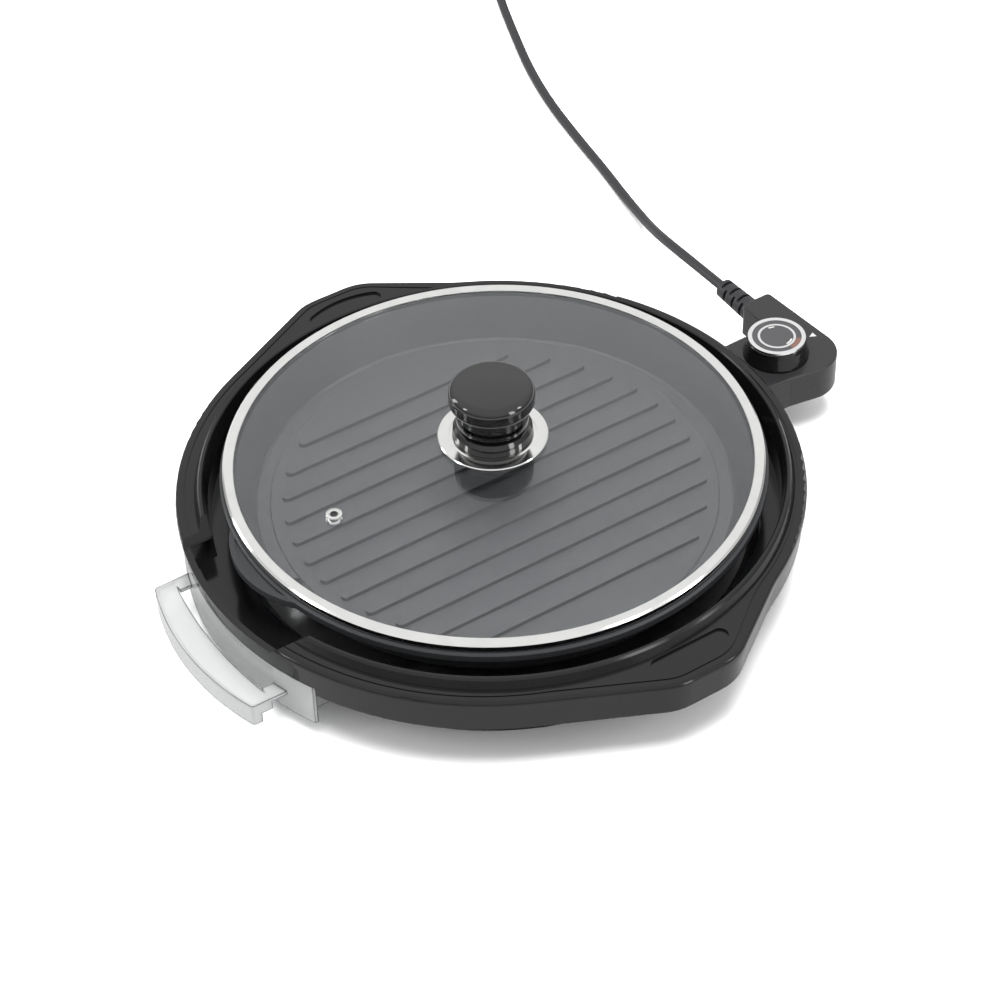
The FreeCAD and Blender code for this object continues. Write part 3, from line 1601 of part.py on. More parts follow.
def build():
    """Makes every part, checks it and writes it to parts/."""
    make_base_rim()
    make_base_housing()
    make_bottom()
    make_heater()
    make_plate()
    make_lid()
    make_tray()
    make_control_shells()
    make_control_inside()
    make_dial()
    make_relief()
    make_lead()
    doc.recompute()
    failed = [
        f"{obj.Label}: {obj.getStatusString()}"
        for obj in doc.Objects
        if "Invalid" in obj.State or "Error" in obj.State
    ]
    if failed:
        raise ValueError("; ".join(failed))
    labels = [obj.Label for obj in nodes]
    if len(set(labels)) != len(labels):
        raise ValueError("two parts share a name")
    for obj in nodes:
        if obj.Shape.isNull() or not obj.Shape.isValid() or not obj.Shape.Solids:
            raise ValueError(f"{obj.Label} has no valid solid")
    os.makedirs("parts", exist_ok=True)
    for obj in nodes:
        obj.Shape.exportStep(f"parts/{obj.Label}.step")
        print(obj.Label, len(obj.Shape.Solids), round(obj.Shape.Volume, 1))


build()
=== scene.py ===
"""Looks for a round electric griddle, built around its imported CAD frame."""

import logging
import math
from dataclasses import dataclass, field
from enum import Enum

import bmesh
import bpy
from mathutils import Matrix, Vector


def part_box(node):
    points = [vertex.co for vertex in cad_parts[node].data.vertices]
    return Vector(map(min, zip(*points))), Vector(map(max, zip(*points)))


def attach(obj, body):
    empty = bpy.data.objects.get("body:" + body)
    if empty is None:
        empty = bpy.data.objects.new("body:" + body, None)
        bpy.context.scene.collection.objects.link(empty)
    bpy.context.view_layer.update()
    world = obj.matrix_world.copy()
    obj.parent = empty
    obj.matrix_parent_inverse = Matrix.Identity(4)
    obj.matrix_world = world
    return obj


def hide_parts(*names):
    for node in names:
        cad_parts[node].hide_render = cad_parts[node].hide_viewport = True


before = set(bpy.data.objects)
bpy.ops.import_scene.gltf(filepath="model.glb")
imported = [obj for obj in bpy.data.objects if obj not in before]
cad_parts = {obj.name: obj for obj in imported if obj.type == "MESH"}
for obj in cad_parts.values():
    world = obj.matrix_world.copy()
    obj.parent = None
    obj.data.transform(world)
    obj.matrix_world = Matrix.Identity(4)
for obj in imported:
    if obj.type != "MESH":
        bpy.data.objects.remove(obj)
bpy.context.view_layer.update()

LOG = logging.getLogger("griddle")
MM = 0.001


# ------------------------------------------------------------------ colour


def linear(code: str) -> tuple[float, float, float, float]:
    """Turns an sRGB hex colour into linear values.

    Args:
        code: Six hex digits with a leading hash.

    Returns:
        Red, green, blue and an alpha of one.
    """
    values = []
    for start in (1, 3, 5):
        share = int(code[start:start + 2], 16) / 255
        low = share <= 0.04045
        values.append(share / 12.92 if low else ((share + 0.055) / 1.055) ** 2.4)
    return (*values, 1.0)


def add_node(
    tree: bpy.types.NodeTree,
    kind: str,
    settings: dict | None = None,
    links: dict | None = None,
) -> bpy.types.Node:
    """Adds a shader node with its settings and links.

    Args:
        tree: The tree that takes the node.
        kind: The node's Blender type.
        settings: Properties by name, or input sockets by name or number.
        links: Input sockets by name or number, each with (node, output).

    Returns:
        The new node.
    """
    made = tree.nodes.new(kind)
    for name, value in (settings or {}).items():
        if isinstance(name, str) and hasattr(made, name):
            setattr(made, name, value)
        else:
            made.inputs[name].default_value = value
    for name, (source, output) in (links or {}).items():
        tree.links.new(source.outputs[output], made.inputs[name])
    return made


# ------------------------------------------------------------------ finishes


def fresh_material(name: str) -> tuple[bpy.types.Material, bpy.types.NodeTree]:
    """Makes an empty node material.

    Args:
        name: The material's name.

    Returns:
        The material and its tree.
    """
    material = bpy.data.materials.new(name)
    material.use_nodes = True
    material.node_tree.nodes.clear()
    return material, material.node_tree


def finish_off(
    tree: bpy.types.NodeTree, shader: bpy.types.Node, output: str = "BSDF"
) -> None:
    """Joins a shader to the material's output.

    Args:
        tree: The material's tree.
        shader: The node that shades the surface.
        output: The socket of that node to use.
    """
    add_node(tree, "ShaderNodeOutputMaterial", {}, {"Surface": (shader, output)})


def grain_scale(size_mm: float) -> float:
    """The noise scale whose blobs are about a size across, in object metres."""
    return 1.0 / (size_mm * MM)


@dataclass(frozen=True)
class MouldedPlastic:
    """A pigmented thermoplastic from a polished or sparked mould.

    A polished tool gives a mirror-like skin with faint flow unevenness; a
    sparked tool gives a fine grain that breaks the reflection up.
    """

    name: str
    colour: str
    roughness: float
    grain_mm: float = 0.6
    grain_height_mm: float = 0.0
    waviness_mm: float = 0.0
    ior: float = 1.5
    coat: float = 0.0
    haze: float = 0.06
    cloud_mm: float = 38.0
    wave_length_mm: float = 9.0

    def build(self) -> bpy.types.Material:
        """Builds the material."""
        material, tree = fresh_material(self.name)
        where = add_node(tree, "ShaderNodeTexCoord")
        cloud = add_node(
            tree,
            "ShaderNodeTexNoise",
            {"Scale": grain_scale(self.cloud_mm), "Detail": 4.0, "Roughness": 0.6},
            {"Vector": (where, "Object")},
        )
        base = linear(self.colour)
        lighter = tuple(min(1.0, channel * 1.35 + 0.0015) for channel in base[:3]) + (1.0,)
        tint = add_node(
            tree,
            "ShaderNodeMix",
            {"data_type": "RGBA", 6: base, 7: lighter},
            {0: (cloud, "Fac")},
        )
        gloss = add_node(
            tree,
            "ShaderNodeMapRange",
            {"From Min": 0.35, "From Max": 0.7, "To Min": self.roughness,
             "To Max": self.roughness + self.haze},
            {"Value": (cloud, "Fac")},
        )
        links = {"Base Color": (tint, 2), "Roughness": (gloss, "Result")}
        bump = self.relief(tree, where)
        if bump:
            links["Normal"] = (bump, "Normal")
        shader = add_node(
            tree,
            "ShaderNodeBsdfPrincipled",
            {"IOR": self.ior, "Coat Weight": self.coat, "Coat Roughness": 0.04},
            links,
        )
        finish_off(tree, shader)
        return material

    def relief(
        self, tree: bpy.types.NodeTree, where: bpy.types.Node
    ) -> bpy.types.Node | None:
        """Adds the mould's grain and flow waves as bump.

        Args:
            tree: The material's tree.
            where: The texture coordinate node.

        Returns:
            The last bump node, or None when the skin is perfectly smooth.
        """
        last = None
        for size, height, detail in (
            (self.wave_length_mm, self.waviness_mm, 1.0),
            (self.grain_mm, self.grain_height_mm, 3.0),
        ):
            if not height:
                continue
            noise = add_node(
                tree,
                "ShaderNodeTexNoise",
                {"Scale": grain_scale(size), "Detail": detail},
                {"Vector": (where, "Object")},
            )
            links = {"Height": (noise, "Fac")}
            if last:
                links["Normal"] = (last, "Normal")
            last = add_node(
                tree,
                "ShaderNodeBump",
                {"Strength": 1.0, "Distance": height * MM},
                links,
            )
        return last


@dataclass(frozen=True)
class NonStickCoat:
    """Sprayed PTFE enamel on cast aluminium: charcoal, with a fine pale fleck."""

    name: str = "ptfe_sprayed_nonstick"
    colour: str = "#28292b"
    fleck: str = "#47484b"
    # Real flecks are near 0.1 mm; they are drawn coarser so that they show.
    fleck_mm: float = 0.5
    roughness: float = 0.42
    cloud_mm: float = 26.0
    peel_mm: float = 0.9
    peel_height_mm: float = 0.03

    def build(self) -> bpy.types.Material:
        """Builds the material."""
        material, tree = fresh_material(self.name)
        where = add_node(tree, "ShaderNodeTexCoord")
        speck = add_node(
            tree,
            "ShaderNodeTexVoronoi",
            {"Scale": grain_scale(self.fleck_mm * 2.2)},
            {"Vector": (where, "Object")},
        )
        dots = add_node(
            tree,
            "ShaderNodeMapRange",
            {"From Min": 0.10, "From Max": 0.24, "To Min": 0.55, "To Max": 0.0},
            {"Value": (speck, "Distance")},
        )
        cloud = add_node(
            tree,
            "ShaderNodeTexNoise",
            {"Scale": grain_scale(self.cloud_mm), "Detail": 5.0},
            {"Vector": (where, "Object")},
        )
        tint = add_node(
            tree,
            "ShaderNodeMix",
            {"data_type": "RGBA", 6: linear(self.colour), 7: linear(self.fleck)},
            {0: (dots, "Result")},
        )
        gloss = add_node(
            tree,
            "ShaderNodeMapRange",
            {"From Min": 0.3, "From Max": 0.7, "To Min": self.roughness - 0.05,
             "To Max": self.roughness + 0.08},
            {"Value": (cloud, "Fac")},
        )
        peel = add_node(
            tree,
            "ShaderNodeTexNoise",
            {"Scale": grain_scale(self.peel_mm), "Detail": 2.0},
            {"Vector": (where, "Object")},
        )
        bump = add_node(
            tree,
            "ShaderNodeBump",
            {"Strength": 1.0, "Distance": self.peel_height_mm * MM},
            {"Height": (peel, "Fac")},
        )
        shader = add_node(
            tree,
            "ShaderNodeBsdfPrincipled",
            {"IOR": 1.4},
            {"Base Color": (tint, 2), "Roughness": (gloss, "Result"),
             "Normal": (bump, "Normal")},
        )
        finish_off(tree, shader)
        return material


class Lay(Enum):
    """The way a metal's polishing lines run."""

    NONE = "none"
    TURNED = "turned"
    ALONG = "along"


@dataclass(frozen=True)
class Metal:
    """A worked metal: its lines come from turning, rolling or polishing."""

    name: str
    colour: str
    roughness: float
    lay: Lay = Lay.NONE
    line_mm: float = 0.35
    line_depth_mm: float = 0.004
    blotch: float = 0.05
    stain: str = ""
    cloud_mm: float = 14.0
    turned_stretch: tuple[float, float, float] = (1.0, 1.0, 40.0)
    along_stretch: tuple[float, float, float] = (0.02, 1.0, 1.0)

    def build(self) -> bpy.types.Material:
        """Builds the material."""
        material, tree = fresh_material(self.name)
        where = add_node(tree, "ShaderNodeTexCoord")
        cloud = add_node(
            tree,
            "ShaderNodeTexNoise",
            {"Scale": grain_scale(self.cloud_mm), "Detail": 5.0},
            {"Vector": (where, "Object")},
        )
        gloss = add_node(
            tree,
            "ShaderNodeMapRange",
            {"From Min": 0.3, "From Max": 0.7, "To Min": self.roughness,
             "To Max": self.roughness + self.blotch},
            {"Value": (cloud, "Fac")},
        )
        base = linear(self.colour)
        other = linear(self.stain) if self.stain else tuple(c * 0.86 for c in base[:3]) + (1.0,)
        tint = add_node(
            tree,
            "ShaderNodeMix",
            {"data_type": "RGBA", 6: base, 7: other},
            {0: (cloud, "Fac")},
        )
        links = {"Base Color": (tint, 2), "Roughness": (gloss, "Result")}
        if self.lay is not Lay.NONE:
            links["Normal"] = (self.lines(tree, where), "Normal")
        shader = add_node(
            tree, "ShaderNodeBsdfPrincipled", {"Metallic": 1.0}, links
        )
        finish_off(tree, shader)
        return material

    def lines(self, tree: bpy.types.NodeTree, where: bpy.types.Node) -> bpy.types.Node:
        """Adds the polishing lines.

        Args:
            tree: The material's tree.
            where: The texture coordinate node.

        Returns:
            The bump node.
        """
        turned = self.lay is Lay.TURNED
        stretch = self.turned_stretch if turned else self.along_stretch
        squeezed = add_node(
            tree,
            "ShaderNodeMapping",
            {"Scale": stretch},
            {"Vector": (where, "Object")},
        )
        noise = add_node(
            tree,
            "ShaderNodeTexNoise",
            {"Scale": grain_scale(self.line_mm * 8), "Detail": 2.0},
            {"Vector": (squeezed, "Vector")},
        )
        return add_node(
            tree,
            "ShaderNodeBump",
            {"Strength": 1.0, "Distance": self.line_depth_mm * MM},
            {"Height": (noise, "Fac")},
        )


@dataclass(frozen=True)
class ClearBody:
    """A see-through body: lamps reach through it, and sight bends in it."""

    name: str
    colour: str
    roughness: float
    ior: float
    shadow: str = "#e8ecec"
    milk: float = 0.0
    wave_mm: float = 0.0
    # The colour of the painted shade on the edges, standing in for the dark lines of
    # refraction.
    edge: str = ""
    edge_mm: float = 1.6
    cloud_mm: float = 22.0

    def build(self) -> bpy.types.Material:
        """Builds the material."""
        material, tree = fresh_material(self.name)
        where = add_node(tree, "ShaderNodeTexCoord")
        cloud = add_node(
            tree,
            "ShaderNodeTexNoise",
            {"Scale": grain_scale(self.cloud_mm), "Detail": 3.0},
            {"Vector": (where, "Object")},
        )
        gloss = add_node(
            tree,
            "ShaderNodeMapRange",
            {"From Min": 0.3, "From Max": 0.7, "To Min": self.roughness,
             "To Max": self.roughness + 0.02},
            {"Value": (cloud, "Fac")},
        )
        links = {"Roughness": (gloss, "Result")}
        if self.wave_mm:
            bump = add_node(
                tree,
                "ShaderNodeBump",
                {"Strength": 1.0, "Distance": self.wave_mm * MM},
                {"Height": (cloud, "Fac")},
            )
            links["Normal"] = (bump, "Normal")
        # Painted shade: the edges are tinted dark, where refraction would darken them.
        if self.edge:
            rim = self.edge_shade_mask(tree)
            tint = add_node(
                tree,
                "ShaderNodeMix",
                {"data_type": "RGBA", 6: linear(self.colour), 7: linear(self.edge)},
                {0: (rim, "Result")},
            )
            links["Base Color"] = (tint, 2)
        glass = add_node(
            tree,
            "ShaderNodeBsdfPrincipled",
            {"Base Color": linear(self.colour), "IOR": self.ior,
             "Transmission Weight": 1.0 - self.milk},
            links,
        )
        path = add_node(tree, "ShaderNodeLightPath")
        open_way = add_node(
            tree, "ShaderNodeBsdfTransparent", {"Color": linear(self.shadow)}
        )
        mixed = add_node(
            tree,
            "ShaderNodeMixShader",
            {},
            {0: (path, "Is Shadow Ray"), 1: (glass, "BSDF"), 2: (open_way, "BSDF")},
        )
        finish_off(tree, mixed, "Shader")
        return material

    def edge_shade_mask(self, tree: bpy.types.NodeTree) -> bpy.types.Node:
        """Finds the moulding's edges, where painted shade stands in for the dark lines that
        refraction draws there.

        Args:
            tree: The material's tree.

        Returns:
            A node whose result is one on an edge and zero on a flat.
        """
        rounded = add_node(
            tree, "ShaderNodeBevel", {"samples": 8, "Radius": self.edge_mm * MM}
        )
        flat = add_node(tree, "ShaderNodeNewGeometry")
        alike = add_node(
            tree,
            "ShaderNodeVectorMath",
            {"operation": "DOT_PRODUCT"},
            {0: (rounded, "Normal"), 1: (flat, "Normal")},
        )
        return add_node(
            tree,
            "ShaderNodeMapRange",
            {"From Min": 0.86, "From Max": 0.985, "To Min": 1.0, "To Max": 0.0},
            {"Value": (alike, "Value")},
        )


@dataclass(frozen=True)
class Rubber:
    """A soft moulded elastomer with a dusty matt skin."""

    name: str
    colour: str
    roughness: float = 0.62
    grain_mm: float = 0.8
    grain_height_mm: float = 0.03
    haze: float = 0.14

    def build(self) -> bpy.types.Material:
        """Builds the material."""
        return MouldedPlastic(
            self.name, self.colour, self.roughness, self.grain_mm,
            self.grain_height_mm, haze=self.haze,
        ).build()


class Palette:
    """Every finish on the griddle, built once."""

    def __init__(self) -> None:
        """Builds the materials."""
        # Rim, housing and dial skirt: a polished black with a slight flow wave.
        self.gloss_black = MouldedPlastic(
            "polypropylene_polished_black", "#0c0c0d", 0.11, waviness_mm=0.01,
            ior=1.42,
        ).build()
        # Thermostat shells: a paler black, rougher than the rim.
        self.satin_black = MouldedPlastic(
            "abs_satin_black", "#1f1f20", 0.22, 0.5, 0.012, ior=1.42,
        ).build()
        # Bottom cover: a rough, grained black.
        self.matt_black = MouldedPlastic(
            "polypropylene_sparked_black", "#1a1a1b", 0.55, 0.7, 0.04,
        ).build()
        # Dial scale and cap: charcoal grey.
        self.dial_face = MouldedPlastic(
            "abs_printed_dial_grey", "#38383a", 0.3, 0.5, 0.012, ior=1.45,
        ).build()
        # Knob cap and collar: the darkest and smoothest black.
        self.phenolic_knob = MouldedPlastic(
            "phenolic_polished_black", "#070707", 0.05, coat=0.3, ior=1.6, haze=0.03,
        ).build()
        # Terminal and switch blocks: a dull brown thermoset.
        self.phenolic_brown = MouldedPlastic(
            "phenolic_moulded_brown", "#3a2a20", 0.45, 0.5, 0.03,
        ).build()
        # Plate: a charcoal non-stick coat.
        self.nonstick = NonStickCoat().build()
        # Lid ring, vent eyelet and knob flange.
        self.polished_steel = Metal(
            "stainless_polished", "#efefed", 0.10, Lay.TURNED,
        ).build()
        # The ring and the bezel of the dial.
        self.chrome = Metal("chromed_abs_trim", "#f5f5f5", 0.10).build()
        # Screws, clips, posts and the dial shaft.
        self.zinc = Metal("steel_zinc_plated", "#b9bbb8", 0.28, blotch=0.12).build()
        # Probe and terminal pins.
        self.nickel = Metal("steel_nickel_plated", "#c2bdb3", 0.2).build()
        # Knob nut, contact sleeves and blades, plug pins.
        self.brass = Metal("brass_turned", "#c9a24a", 0.22, Lay.TURNED).build()
        # Reflector pan: rolled sheet.
        self.pan_steel = Metal(
            "steel_aluminised_rolled", "#b4b6b6", 0.32, Lay.ALONG, blotch=0.1,
        ).build()
        # Heating element: a sheath stained by heat.
        self.element_steel = Metal(
            "incoloy_heat_blued", "#4f4b47", 0.42, blotch=0.15, stain="#2c3038",
        ).build()
        # Lid glass.
        self.glass = ClearBody(
            "soda_lime_tempered_glass", "#fbfcfc", 0.0, 1.5, "#f2f4f4",
        ).build()
        # Tray: a third milky, with painted shade along its thin edges in place of the dark
        # lines of refraction.
        self.clear_plastic = ClearBody(
            "san_moulded_clear", "#cfd0d0", 0.10, 1.49, "#b9baba", 0.34, 0.02,
            edge="#3c3e40",
        ).build()
        # Foot ring.
        self.rubber = Rubber("rubber_moulded_black", "#1c1c1c").build()
        # Knob washer.
        self.silicone = Rubber("silicone_moulded_grey", "#b9b9b5", 0.5).build()
        # Lead, strain relief and plug body.
        self.cord = Rubber("pvc_extruded_black", "#1e1e20", 0.4, 1.2, 0.02).build()
        # Cord tie: a little paler and rougher than the lead.
        self.tie = Rubber("pvc_tie_black", "#232325", 0.5).build()
        # Pointer mark in white print; the same ink paints the highlights on the dial cap's
        # raised edge.
        self.ink_and_highlight = MouldedPlastic("white_print_and_painted_highlight", "#a2a2a0", 0.45).build()
        # The dial's amber field.
        self.amber_ink = MouldedPlastic("amber_pad_printed_ink", "#5f453c", 0.45).build()


# ------------------------------------------------------------------ meshes


def new_piece(name: str, mesh: bpy.types.Mesh, smooth: float = 40.0) -> bpy.types.Object:
    """Links a mesh as an object, shaded smooth below an angle.

    Args:
        name: The piece's name.
        mesh: Its mesh.
        smooth: The angle in degrees past which an edge stays sharp.

    Returns:
        The object.
    """
    piece = bpy.data.objects.new(name, mesh)
    bpy.context.scene.collection.objects.link(piece)
    mesh.shade_smooth()
    mesh.set_sharp_from_angle(angle=math.radians(smooth))
    return piece


def dress(
    piece: bpy.types.Object, material: bpy.types.Material, body: str
) -> bpy.types.Object:
    """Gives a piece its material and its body.

    Args:
        piece: The piece to dress.
        material: Its only material.
        body: The body that carries it.

    Returns:
        The piece.
    """
    piece.data.materials.clear()
    piece.data.materials.append(material)
    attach(piece, body)
    return piece


def bevel(piece: bpy.types.Object, width_mm: float, segments: int = 3,
          angle: float = 35.0) -> None:
    """Rounds a piece's sharp edges with a modifier.

    Args:
        piece: The piece whose edges are rounded.
        width_mm: The width of the rounding.
        segments: The steps across it.
        angle: Edges that turn less than this, in degrees, are left alone.
    """
    rounder = piece.modifiers.new("edge_round", "BEVEL")
    rounder.width = width_mm * MM
    rounder.segments = segments
    rounder.limit_method = "ANGLE"
    rounder.angle_limit = math.radians(angle)
    rounder.harden_normals = True


def stitch(
    shape: bmesh.types.BMesh, low: list[bmesh.types.BMVert], high: list[bmesh.types.BMVert]
) -> None:
    """Joins two loops that have the same number of vertices.

    Args:
        shape: The mesh that takes the faces.
        low: The first loop.
        high: The second loop.
    """
    count = len(low)
    for k in range(count):
        following = (k + 1) % count
        shape.faces.new((low[k], low[following], high[following], high[k]))


def to_mesh(name: str, shape: bmesh.types.BMesh) -> bpy.types.Mesh:
    """Writes a bmesh to a new mesh and frees it."""
    mesh = bpy.data.meshes.new(name)
    shape.to_mesh(mesh)
    shape.free()
    return mesh


def boxed(node: str) -> tuple[Vector, Vector]:
    """A CAD node's two corners in millimetres."""
    low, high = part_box(node)
    return low / MM, high / MM


# ------------------------------------------------------------------ studio


@dataclass
class Studio:
    """The camera, the lamps and the pale floor."""

    azimuth: float = 57.77
    elevation: float = 42.6
    roll: float = -1.8
    distance: float = 1.6
    lens: float = 97.3
    aim_height: float = 0.062
    aside: tuple[float, float] = (0.0036, -0.0212)
    floor_colour: str = "#ffffff"
    # Mirrored rays see a dimmer floor, so that polished black sides stay dark.
    floor_mirrored: str = "#b0b0b0"
    backdrop_reach: float = 30.0
    sky_low: float = 0.35
    sky_high: float = 0.95

    def build(self) -> None:
        """Builds the studio."""
        self.camera()
        self.floor()
        self.lamps()

    def axes(self) -> tuple[Vector, Vector, Vector]:
        """The camera's right, up and back directions."""
        a, e, r = (math.radians(v) for v in (self.azimuth, self.elevation, self.roll))
        back = Vector((math.sin(a) * math.cos(e), -math.cos(a) * math.cos(e), math.sin(e)))
        right = Vector((math.cos(a), math.sin(a), 0.0))
        up = back.cross(right)
        tilted = right * math.cos(r) + up * math.sin(r)
        raised = up * math.cos(r) - right * math.sin(r)
        return tilted, raised, back

    def camera(self) -> None:
        """Places the camera."""
        right, up, back = self.axes()
        spot = (
            Vector((0, 0, self.aim_height))
            + right * self.aside[0]
            + up * self.aside[1]
            + back * self.distance
        )
        data = bpy.data.cameras.new("camera")
        data.lens = self.lens
        data.sensor_width = 36.0
        data.clip_end = 50.0
        camera = bpy.data.objects.new("camera", data)
        turn = Matrix((right, up, back)).transposed().to_4x4()
        camera.matrix_world = Matrix.Translation(spot) @ turn
        bpy.context.scene.collection.objects.link(camera)
        bpy.context.scene.camera = camera

    def floor(self) -> None:
        """Lays the floor."""
        shape = bmesh.new()
        bmesh.ops.create_grid(shape, x_segments=1, y_segments=1, size=self.backdrop_reach)
        floor = new_piece("floor", to_mesh("floor", shape))
        material, tree = fresh_material("paper_sweep_white")
        path = add_node(tree, "ShaderNodeLightPath")
        tint = add_node(
            tree,
            "ShaderNodeMix",
            {"data_type": "RGBA", 6: linear(self.floor_colour),
             7: linear(self.floor_mirrored)},
            {0: (path, "Is Glossy Ray")},
        )
        shader = add_node(
            tree,
            "ShaderNodeBsdfPrincipled",
            {"Roughness": 0.9, "Specular IOR Level": 0.1},
            {"Base Color": (tint, 2)},
        )
        finish_off(tree, shader)
        floor.data.materials.append(material)

    def lamps(self) -> None:
        """Hangs the soft lamps and the graded sky."""
        key = self.softbox("overhead_softbox", (0.25, -0.1, 2.3), (1.3, 1.3), 88.0)
        # The overhead lamp lights the object but isn't mirrored in it.
        key.visible_glossy = False
        self.softbox("left_strip", (-1.5, -1.2, 0.7), (0.35, 1.1), 6.0)
        self.softbox("right_strip", (1.7, 0.5, 0.7), (0.35, 1.1), 6.0)
        # Two small lamps, meant as highlights on glossy black.
        self.softbox("near_card", (-0.45, -1.5, 1.0), (0.25, 0.5), 3.0)
        self.softbox("far_card", (1.2, 1.1, 1.0), (0.25, 0.5), 3.0)
        world = bpy.data.worlds.new("studio")
        world.use_nodes = True
        tree = world.node_tree
        tree.nodes.clear()
        where = add_node(tree, "ShaderNodeTexCoord")
        parts = add_node(tree, "ShaderNodeSeparateXYZ", {}, {0: (where, "Generated")})
        height = add_node(
            tree,
            "ShaderNodeMapRange",
            {"From Min": 0.0, "From Max": 0.6, "To Min": self.sky_low,
             "To Max": self.sky_high},
            {"Value": (parts, "Z")},
        )
        sky = add_node(
            tree,
            "ShaderNodeBackground",
            {"Color": linear("#ffffff")},
            {"Strength": (height, "Result")},
        )
        add_node(tree, "ShaderNodeOutputWorld", {}, {"Surface": (sky, "Background")})
        bpy.context.scene.world = world
        bpy.context.scene.view_settings.view_transform = "Standard"

    def softbox(
        self,
        name: str,
        spot: tuple[float, float, float],
        size: tuple[float, float],
        power: float,
    ) -> bpy.types.Object:
        """Hangs one softbox that faces the griddle.

        Args:
            name: The lamp's name.
            spot: Where it hangs, in metres.
            size: Its width and height, in metres.
            power: Its power, in watts.

        Returns:
            The lamp.
        """
        data = bpy.data.lights.new(name, "AREA")
        data.shape = "RECTANGLE"
        data.size, data.size_y = size
        data.energy = power
        lamp = bpy.data.objects.new(name, data)
        lamp.location = spot
        lamp.rotation_euler = (
            Vector((0, 0, self.aim_height)) - Vector(spot)
        ).to_track_quat("-Z", "Y").to_euler()
        bpy.context.scene.collection.objects.link(lamp)
        return lamp


# ------------------------------------------------------------------ lead


@dataclass
class Lead:
    """The mains lead: one cord from the relief through its coil to the plug."""

    radius: float = 3.25
    route: list[tuple[float, float, float]] = field(default_factory=lambda: [
        (-82.0, 233.0, 36.0),
        (-110.0, 232.6, 36.0),
        (-143.0, 235.5, 31.5),
        (-173.0, 243.5, 21.5),
        (-203.0, 254.0, 11.0),
        (-236.0, 263.5, 4.0),
        (-273.0, 271.0, 3.3),
        (-318.0, 278.0, 3.3),
        (-366.0, 287.0, 3.3),
        (-412.0, 300.0, 3.3),
        (-456.0, 316.5, 3.3),
        (-500.0, 333.5, 3.3),
        (-542.0, 353.6, 3.3),
    ])
    tail: list[tuple[float, float, float]] = field(default_factory=lambda: [
        (-535.3, 426.9, 9.8),
        (-520.9, 430.8, 9.6),
        (-506.0, 433.0, 8.6),
        (-491.0, 434.5, 7.6),
    ])
    coil_centre: tuple[float, float] = (-525.1, 389.0)
    coil_start: float = 39.2
    points_per_turn: int = 14
    flat_turns: float = 2.0
    climb: float = 0.3
    all_turns: float = 3.3875
    start_angle: float = 244.5
    top_radius: float = 36.0
    turn_gap: float = 0.15
    floor_gap: float = 0.05

    def coil(self) -> list[tuple[float, float, float]]:
        """The coil's control points, in millimetres."""
        pitch = self.radius * 2 + self.turn_gap
        low = self.radius + self.floor_gap
        count = int(self.all_turns * self.points_per_turn)
        points = []
        for k in range(1, count + 1):
            turns = k / self.points_per_turn
            angle = math.radians(self.start_angle - 360.0 * turns)
            inward = min(turns, self.flat_turns + self.climb)
            radius = self.coil_start - pitch * inward
            rise = min(max((turns - self.flat_turns) / self.climb, 0.0), 1.0)
            rise = rise * rise * (3 - 2 * rise)
            outward = (turns - self.flat_turns - self.climb) / (
                self.all_turns - self.flat_turns - self.climb
            )
            if outward > 0:
                radius += (self.top_radius - radius) * outward
            points.append((
                self.coil_centre[0] + radius * math.cos(angle),
                self.coil_centre[1] + radius * math.sin(angle),
                low + pitch * rise,
            ))
        return points

    def build(self, palette: Palette) -> None:
        """Lays the cord and dresses what is on it."""
        points = self.route + self.coil() + self.tail
        data = bpy.data.curves.new("mains_cord", "CURVE")
        data.dimensions = "3D"
        data.bevel_depth = self.radius * MM
        data.bevel_resolution = 6
        data.resolution_u = 6
        data.use_fill_caps = True
        spline = data.splines.new("NURBS")
        spline.points.add(len(points) - 1)
        for spot, (x, y, z) in zip(spline.points, points):
            spot.co = (x * MM, y * MM, z * MM, 1.0)
        spline.order_u = 3
        spline.use_endpoint_u = True
        cord = bpy.data.objects.new("mains_cord", data)
        bpy.context.scene.collection.objects.link(cord)
        dress(cord, palette.cord, "thermostat")
        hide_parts("cord_tube", "cord_coil", "cord_tail")
        for name, material in (
            ("cord_tie", palette.tie), ("plug_body", palette.cord),
            ("plug_pins", palette.brass),
        ):
            paint(name, material)
        bevel(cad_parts["plug_body"], 0.8)
        tuple(v * MM for v in self.route[0])
        LOG.info("lead: cord with %d control points", len(points))


def paint(node: str, material: bpy.types.Material, smooth: float = 30.0) -> bpy.types.Object:
    """Gives a CAD node a material and smooth shading below an angle.

    Args:
        node: The node's name.
        material: Its only material.
        smooth: The angle in degrees past which an edge stays sharp.

    Returns:
        The node's object.
    """
    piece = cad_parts[node]
    piece.data.materials.clear()
    piece.data.materials.append(material)
    piece.data.shade_smooth()
    piece.data.set_sharp_from_angle(angle=math.radians(smooth))
    return piece


# ------------------------------------------------------------------ base


@dataclass
class Base:
    """The rim with its handles, the housing, and what lies under the plate."""

    def build(self, palette: Palette) -> None:
        """Dresses the base."""
        paint("base_rim", palette.gloss_black, 40.0)
        bevel(paint("base_housing", palette.gloss_black), 0.5)
        paint("bottom_cover", palette.matt_black)
        paint("base_screws", palette.zinc)
        paint("foot_ring", palette.rubber)
        paint("reflector_pan", palette.pan_steel)
        paint("heating_element", palette.element_steel)
        paint("element_clips", palette.zinc)
        paint("plate_posts", palette.zinc)
        paint("terminal_block", palette.phenolic_brown)
        paint("terminal_pins", palette.nickel)
        LOG.info("base: dressed")


# ------------------------------------------------------------------ plate


@dataclass
class Plate:
    """The ribbed grill plate."""

    def build(self, palette: Palette) -> None:
        """Dresses the plate."""
        bevel(paint("grill_plate", palette.nonstick), 0.8)
        LOG.info("plate: dressed")


# ------------------------------------------------------------------ lid


